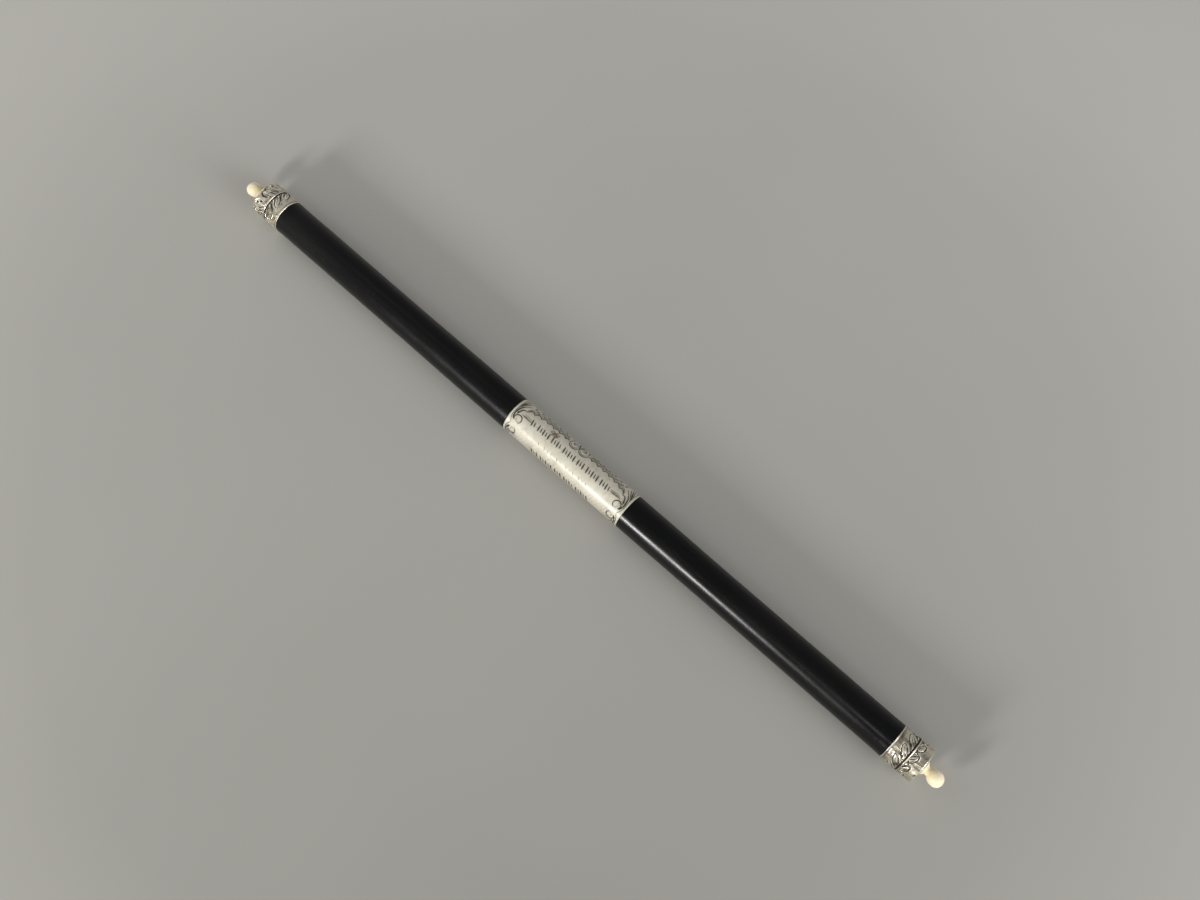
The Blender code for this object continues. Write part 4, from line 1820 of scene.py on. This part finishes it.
@dataclass
class EndCap(Band):
    """Silver cup over the end of the rod: lip, leaves, a plain rim, a low dome.

    Attributes:
        lip: Width of the plain lip at the ring.
        line: Width of the dark line beside the lip.
        line_at: Distance of that line from the lip.
        crown: Height of the lip's rounding.
        grime: Tarnish in the line beside the lip, from 0 to 1.
        edge_round: Radius of the edge between side and dome.
        dome_rise: Height of the dome.
        land_radius: Radius of the flat that the finial stands on.
        foot_grime: Tarnish round that flat, from 0 to 1.
    """

    lip: float = 0.42
    line: float = 0.2
    line_at: float = 0.3
    crown: float = 0.11
    grime: float = 0.4
    edge_round: float = 0.3
    dome_rise: float = 0.85
    land_radius: float = 4.15
    foot_grime: float = 0.85

    def dome(self, edge: float, far: float) -> tuple[Array, Array]:
        """Rounded edge, then a low curve up to the land, then in to the axis.

        The edge is most of a quarter circle.  The dome's height is a sine of
        the way from the edge to the land.

        Args:
            edge: Place along the axis where the edge begins.
            far: Place of the land.

        Returns:
            Places along the axis and radii.
        """
        turn = np.radians(np.linspace(0.0, 80.0, 7)[1:])
        round_x = edge + self.edge_round * np.sin(turn)
        round_r = self.radius - self.edge_round * (1.0 - np.cos(turn))
        way = np.linspace(0.0, 1.0, 16)[1:]
        low_x = round_x[-1] + (far - round_x[-1]) * np.sin(way * math.pi / 2)
        low_r = round_r[-1] + (self.land_radius - round_r[-1]) * way
        x = np.concatenate([round_x, low_x, [far]])
        r = np.concatenate([round_r, low_r, [self.land_radius / 2]])
        return x, r

    def grid(self) -> Grid:
        """Inside of the cup from its floor to its mouth, then the outside.

        Returns:
            The closed grid with what the silver reads.
        """
        span = Span.of(f"end_cap_{self.end.value}")
        edge = span.far - self.dome_rise - self.edge_round
        reach = self.rows(edge - span.near)
        relief = self.chased(reach, reach, ease((reach[-1] - reach) / 0.4))
        dome_x, dome_r = self.dome(edge, span.far)
        bore = self.radius - self.wall
        inner_x = np.array([edge, edge, span.near])
        inner_r = np.array([bore / 2, bore, bore])
        degrees = self.degrees[None, :]
        parts = [
            self.lie.points(inner_x[:, None], inner_r[:, None], degrees),
            self.lie.points((span.near + reach)[:, None], self.radius + relief.height, degrees),
            self.lie.points(dome_x[:, None], dome_r[:, None], degrees),
        ]
        foot_line = self.foot_grime * bell(dome_r - self.land_radius + 0.15, 0.28)[:, None]
        # Bright band round the rounded outer edge: partly wear, partly a painted highlight
        worn_and_highlit_edge = bell(dome_r - self.radius + self.edge_round, 0.5)[:, None]
        side = (relief.tarnish, relief.burnish, self.stains_and_shade(reach))
        dome = (foot_line, worn_and_highlit_edge, np.zeros_like(foot_line))
        layers = self.layers([len(inner_x), side, dome])
        return Grid(np.concatenate(parts), Closing.POLES, layers)


@dataclass
class JointRing:
    """Thin dark ring that fills the joint between a ferrule and an end cap.

    Attributes:
        lie: Where the baton lies.
        end: End of the baton.
        radius: Radius at its two edges.
        bulge: How much it is rounded outwards.
        bore: Radius of its bore.
        clear: Share of the joint that stays open at each side.
        columns: Columns round the ring.
    """

    lie: Lie
    end: End
    radius: float = 9.08
    bulge: float = 0.05
    bore: float = 8.5
    clear: float = 0.02
    columns: int = 180

    def grid(self) -> Grid:
        """Slightly rounded outer face and a plain bore.

        Returns:
            The closed grid.
        """
        near = Span.of(f"ferrule_{self.end.value}").far
        far = Span.of(f"end_cap_{self.end.value}").near
        share = np.linspace(0.0, 1.0, 9)
        x = near + (far - near) * (self.clear + (1.0 - 2.0 * self.clear) * share)
        r = self.radius + self.bulge * np.sin(math.pi * share)
        x = np.concatenate([x, x[[-1, 0]]])
        r = np.concatenate([r, [self.bore, self.bore]])
        degrees = 360.0 * np.arange(self.columns) / self.columns
        points = self.lie.points(x[:, None], r[:, None], degrees[None, :])
        return Grid(points, Closing.LOOP)


@dataclass
class Finial:
    """Turned ivory finial: a foot that flares, a neck and an egg-backed ball.

    Attributes:
        lie: Where the baton lies.
        end: End of the baton.
        lean: Slope by which the finial leans to the side.
        gap: Gap between its foot and the end cap.
        foot_radius: Radius of the foot's rim.
        rim: Width of the rim.
        rim_round: How much the rim is rounded.
        neck_radius: Radius at the narrowest place.
        neck_at: Distance of that place from the foot's face.
        ball_radius: Radius of the ball.
        ball_back: Half-length of the egg-shaped half of the ball.
        line_at: Distances of the fine turned lines from the foot's face.
        line_depth: Depth of those lines.
        line_width: Width of those lines.
        columns: Columns round the finial.
    """

    lie: Lie
    end: End
    lean: float
    gap: float = 0.02
    foot_radius: float = 3.8
    rim: float = 0.4
    rim_round: float = 0.12
    neck_radius: float = 2.1
    neck_at: float = 2.2
    ball_radius: float = 3.85
    ball_back: float = 4.7
    line_at: Pair = (3.35, 3.8)
    line_depth: float = 0.11
    line_width: float = 0.12
    columns: int = 96

    def profile(self, base: float, tip: float) -> tuple[Array, Array, Array]:
        """Turned outline, from the middle of the foot's face to the tip.

        The rim is a half circle, the flare falls as 1 - sine from the rim to
        the neck, and the ball is half an ellipse and then half a circle.

        Args:
            base: Place of the foot's face.
            tip: Place of the ball's end.

        Returns:
            Places along the axis, radii, and how deep in the hollow a point is.
        """
        centre = tip - self.ball_radius
        rim_turn = np.radians(np.linspace(0.0, 180.0, 9))
        rim_x = base + self.rim / 2 * (1.0 - np.cos(rim_turn))
        rim_r = self.foot_radius - self.rim_round + self.rim_round * np.sin(rim_turn)
        way = np.linspace(0.0, 1.0, 22)[1:]
        neck = base + self.neck_at
        flare_x = base + self.rim + (neck - base - self.rim) * way
        flare = 1.0 - np.sin(way * math.pi / 2)
        flare_r = self.neck_radius + (rim_r[-1] - self.neck_radius) * flare
        meeting = math.asin(self.neck_radius / self.ball_radius)
        turn = np.linspace(meeting, math.pi, 66)[:-1]
        reach = np.where(turn < math.pi / 2, self.ball_back, self.ball_radius)
        ball_x = centre - reach * np.cos(turn)
        ball_r = self.ball_radius * np.sin(turn)
        x = np.concatenate([[base], rim_x, flare_x, ball_x])
        r = np.concatenate([[self.foot_radius / 2], rim_r, flare_r, ball_r])
        lines = sum(bell(x - base - at, self.line_width) for at in self.line_at)
        hollow = 0.55 * bell(x - neck, 1.3) + 0.95 * lines
        return x, r - self.line_depth * lines, np.clip(hollow, 0.0, 1.0)

    def grid(self) -> Grid:
        """The outline turned round the axis, then leaned over its foot.

        Returns:
            The closed grid with what the ivory reads.
        """
        base = Span.of(f"end_cap_{self.end.value}").far + self.gap
        tip = Span.of(f"finial_{self.end.value}").far
        x, r, hollow = self.profile(base, tip)
        degrees = 360.0 * np.arange(self.columns) / self.columns
        points = self.lie.points(x[:, None], r[:, None], degrees[None, :])
        points[..., 1] += self.lean * (points[..., 0] - base)
        return Grid(points, Closing.POLES, {"hollow": hollow[:, None]})


@dataclass
class Rod:
    """Ebony rod, slightly waisted, seated in the sleeve and the mounts.

    Attributes:
        lie: Where the baton lies.
        waist: Radius between the sleeve and a ferrule.
        swell: How much it thickens beside the sleeve.
        swell_length: Length over which it does.
        flare: How much it thickens beside a ferrule.
        flare_length: Length over which it does.
        lean: How much thicker the right half is than the left half.
        wave: Height of the long wave along the rod.
        wave_top: Place of one of its crests.
        wave_length: Its length.
        winding: Height of the short wave that winds round the rod.
        limit: Greatest radius, under the silver's.
        seat: Radius under the sleeve.
        tenon: Radius in the mounts.
        gap: Gap between the wood and the silver's edges.
        rows_each: Rows of each exposed half.
        columns: Columns round the rod.
    """

    lie: Lie
    waist: float = 8.9
    swell: float = 0.15
    swell_length: float = 62.0
    flare: float = 0.13
    flare_length: float = 5.0
    lean: float = 0.09
    wave: float = 0.03
    wave_top: float = 145.0
    wave_length: float = 105.0
    winding: float = 0.008
    limit: float = 9.14
    seat: float = 8.3
    tenon: float = 8.2
    gap: float = 0.03
    rows_each: int = 170
    columns: int = 128

    def exposed(self, x: Array, degrees: Array) -> Array:
        """Radius of the exposed wood, a little uneven from hand turning.

        A long wave along the rod and a short one that winds round it are added
        to the waist, the swell and the flare.

        Args:
            x: Places along the axis.
            degrees: Angles from the top.

        Returns:
            The radius at each point.
        """
        sleeve = Span.of("sleeve").far
        ferrule = Span.of("ferrule_right").near
        away = np.abs(x)
        r = self.waist + self.swell * (1.0 - ease((away - sleeve) / self.swell_length))
        r = r + self.flare * ease((away - ferrule + self.flare_length) / self.flare_length)
        r = r + self.lean * ease((x + sleeve) / (2 * sleeve))
        r = r + self.wave * np.cos(2 * math.pi * (x - self.wave_top) / self.wave_length)
        winding = self.winding * np.sin(x / 6.7 + 2.0 * np.sin(np.radians(degrees)))
        return np.minimum(r + winding, self.limit)

    def grid(self) -> Grid:
        """Tenon, left half, seat, right half and tenon, as rows along the axis.

        Returns:
            The closed grid.
        """
        degrees = 360.0 * np.arange(self.columns) / self.columns
        sleeve = Span.of("sleeve").far + self.gap
        shoulder = Span.of("ferrule_right").near - self.gap
        tip = Span.of("rod").far
        half = np.linspace(sleeve, shoulder, self.rows_each)
        halves = []
        for side in (-1.0, 1.0):
            x = np.sort(side * half)
            r = self.exposed(x[:, None], degrees[None, :])
            halves.append(self.lie.points(x[:, None], r, degrees[None, :]))
        tenon = [(-tip, self.tenon / 2), (-tip, self.tenon), (-shoulder, self.tenon)]
        other = [(-x, r) for x, r in reversed(tenon)]
        seat = [(-sleeve, self.seat), (sleeve, self.seat)]
        first, middle, last = (self.plain_rows(rows, degrees) for rows in (tenon, seat, other))
        points = np.concatenate([first, halves[0], middle, halves[1], last])
        return Grid(points, Closing.POLES)

    def plain_rows(self, rows: list[Pair], degrees: Array) -> Array:
        """Round rows at given places and radii."""
        x, r = np.array(rows).T
        return self.lie.points(x[:, None], r[:, None], degrees[None, :])


@dataclass(frozen=True)
class Lamp:
    """Soft rectangular light that shines on the baton.

    Attributes:
        name: Its name.
        place: Where it hangs, in metres.
        size: Its width and height, in metres.
        power: Its power in watts.
        colour: Its colour.
    """

    name: str
    place: Triple
    size: Pair
    power: float
    colour: Colour

    def hang(self) -> None:
        """Put the light in the scene, turned to the origin."""
        data = bpy.data.lights.new(self.name, "AREA")
        data.shape = "RECTANGLE"
        data.size, data.size_y = self.size
        data.energy = self.power
        data.color = self.colour
        lamp = bpy.data.objects.new(self.name, data)
        lamp.location = self.place
        lamp.rotation_euler = Vector(self.place).to_track_quat("Z", "Y").to_euler()
        bpy.context.scene.collection.objects.link(lamp)


# A window in front, a weaker one beyond the right end and a faint high one
LAMPS = (
    Lamp("window", (-0.17, -1.45, 0.52), (0.27, 0.27), 15.2, (1.0, 0.985, 0.95)),
    Lamp("side_window", (1.5, 0.12, 0.58), (0.8, 0.8), 12.0, (0.98, 0.985, 1.0)),
    Lamp("high_window", (0.45, -0.87, 1.34), (0.42, 0.26), 1.3, (1.0, 0.99, 0.96)),
)


@dataclass(frozen=True)
class Studio:
    """Table, lights and camera round the baton.

    The camera stands where the photograph was taken from, worked out from the
    outlines of the rod and of the silver.

    Attributes:
        camera_place: Place of the camera, in millimetres.
        camera_right: Direction to the right of its picture.
        camera_up: Direction to the top of its picture.
        lens: Its focal length.
        sensor: Width of its sensor.
        table_size: Width of the table top, in metres.
        overhead: Strength of the room light from everywhere.
        behind: What is added low down behind.
        beside: What is added towards both ends of the baton.
        room_colour: Colour of the room light.
    """

    camera_place: Triple = (146.84, -165.70, 627.18)
    camera_right: Triple = (0.740917, 0.671092, 0.026032)
    camera_up: Triple = (-0.636604, 0.689435, 0.345563)
    lens: float = 40.904
    sensor: float = 36.0
    table_size: float = 40.0
    overhead: float = 0.2
    behind: float = 0.09
    beside: float = 1.8
    room_colour: Colour = (1.0, 0.99, 0.97)

    def set_table(self) -> None:
        """Lay the table top."""
        half = self.table_size / 2
        mesh = bpy.data.meshes.new("table")
        corners = [(-half, -half, 0.0), (half, -half, 0.0), (half, half, 0.0), (-half, half, 0.0)]
        mesh.from_pydata(corners, [], [(0, 1, 2, 3)])
        mesh.materials.append(Table().material())
        table = bpy.data.objects.new("table", mesh)
        bpy.context.scene.collection.objects.link(table)

    def set_glow(self) -> None:
        """Room light: dim overhead, brighter low down behind, bright to both sides.

        The strength is overhead, plus behind where a direction points low and
        away from the front, plus beside as it turns along the baton, less so
        towards the back.
        """
        world = bpy.data.worlds.new("room")
        world.use_nodes = True
        g = Graph(world.node_tree, "Generated")
        split = g.node("SeparateXYZ")
        g.put(split.inputs["Vector"], g.place)
        x, y, z = split.outputs
        low = g.remap(z, 0.15, 0.75, self.behind, 0.0)
        behind = g.times(low, g.remap(y, 0.0, 0.3))
        sideways = g.compute("MAXIMUM", x, g.times(x, -1.0))
        frontward = g.remap(y, -0.35, 0.35, 1.0, 0.42)
        beside = g.times(g.remap(sideways, 0.4, 1.0, 0.0, self.beside), frontward)
        shade = g.tree.nodes["Background"]
        g.put(shade.inputs["Color"], self.room_colour)
        g.put(shade.inputs["Strength"], g.add(g.add(behind, beside), self.overhead))
        bpy.context.scene.world = world

    def set_camera(self) -> None:
        """Stand the camera at the photograph's viewing place."""
        data = bpy.data.cameras.new("camera")
        data.lens = self.lens
        data.sensor_width = self.sensor
        right = Vector(self.camera_right).normalized()
        up = Vector(self.camera_up).normalized()
        back = right.cross(up)
        turn = Matrix((right, up, back)).transposed().to_4x4()
        camera = bpy.data.objects.new("camera", data)
        camera.matrix_world = Matrix.Translation(Vector(self.camera_place) * MM) @ turn
        bpy.context.scene.collection.objects.link(camera)
        bpy.context.scene.camera = camera

    def build(self) -> None:
        """Set up everything that isn't the baton."""
        self.set_table()
        self.set_glow()
        for lamp in LAMPS:
            lamp.hang()
        self.set_camera()
        bpy.context.scene.view_settings.view_transform = "Standard"


class Baton:
    """The whole baton: its pieces and their finishes."""

    def __init__(self) -> None:
        """Read where the baton lies and make the finishes."""
        self.lie = Lie.from_frame()
        self.ebony = Ebony().material()
        self.sleeve_silver = SLEEVE_SILVER.material()
        self.mount_silver = MOUNT_SILVER.material()
        self.ring_stuff = DarkRing().material()
        self.ivory = Ivory().material()

    def dress(self, grid: Grid, name: str, node: str,
              finish: bpy.types.Material, sharp_degrees: float) -> None:
        """Make a grid a finished piece that stands for a node.

        Args:
            grid: The piece's surface.
            name: Name of the piece.
            node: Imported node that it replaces.
            finish: Its material.
            sharp_degrees: Edges that turn by more than this stay sharp.
        """
        piece = grid.piece(name, sharp_degrees)
        piece.data.materials.append(finish)
        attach(piece, BODY)
        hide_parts(node)
        faces = len(grid.quads()) * 2 + len(grid.fans())
        LOG.info("%s: %d triangles, replaces %s", name, faces, node)

    def build_middle(self) -> None:
        """Rod and sleeve."""
        rod, sleeve = Rod(self.lie).grid(), Sleeve(self.lie).grid()
        self.dress(rod, "ebony_rod", "rod", self.ebony, 40.0)
        self.dress(sleeve, "engraved_sleeve", "sleeve", self.sleeve_silver, 60.0)

    def build_end(self, end: End) -> None:
        """Ferrule, ring, end cap and finial of one end.

        Args:
            end: Which end of the baton.
        """
        if end is End.LEFT:
            laurels, leaves, rubbed, lean = laurel(-18.0), curled_leaves(0.0), 50.0, 0.11
        else:
            laurels, leaves, rubbed, lean = laurel(-2.0), cap_leaves(2.0), None, -0.045
        ferrule = Ferrule(self.lie, end, laurels, FERRULE_BLOTS[end])
        cap = EndCap(self.lie, end, leaves, CAP_BLOTS[end], rubbed=rubbed)
        ring, finial = JointRing(self.lie, end), Finial(self.lie, end, lean)
        parts = (
            (ferrule, "chased_ferrule", "ferrule", "silver", self.mount_silver, 60.0),
            (ring, "dark_ring", "joint_ring", "dark_ring", self.ring_stuff, 50.0),
            (cap, "chased_cap", "end_cap", "silver", self.mount_silver, 60.0),
            (finial, "ivory_finial", "finial", "ivory", self.ivory, 40.0),
        )
        side = end.value
        for part, name, node, slot, finish, sharp in parts:
            grid = part.grid()
            grid = grid.turned() if end is End.LEFT else grid
            self.dress(grid, f"{name}_{side}", f"{node}_{side}", finish, sharp)

    def build(self) -> None:
        """Build every piece."""
        self.build_middle()
        for end in End:
            self.build_end(end)


def main() -> None:
    """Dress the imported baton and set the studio."""
    logging.basicConfig(level=logging.INFO, format="%(name)s: %(message)s")
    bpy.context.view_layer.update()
    LOG.info("%d packed nodes to dress", len(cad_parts))
    Baton().build()
    Studio().build()


if __name__ == "__main__":
    main()
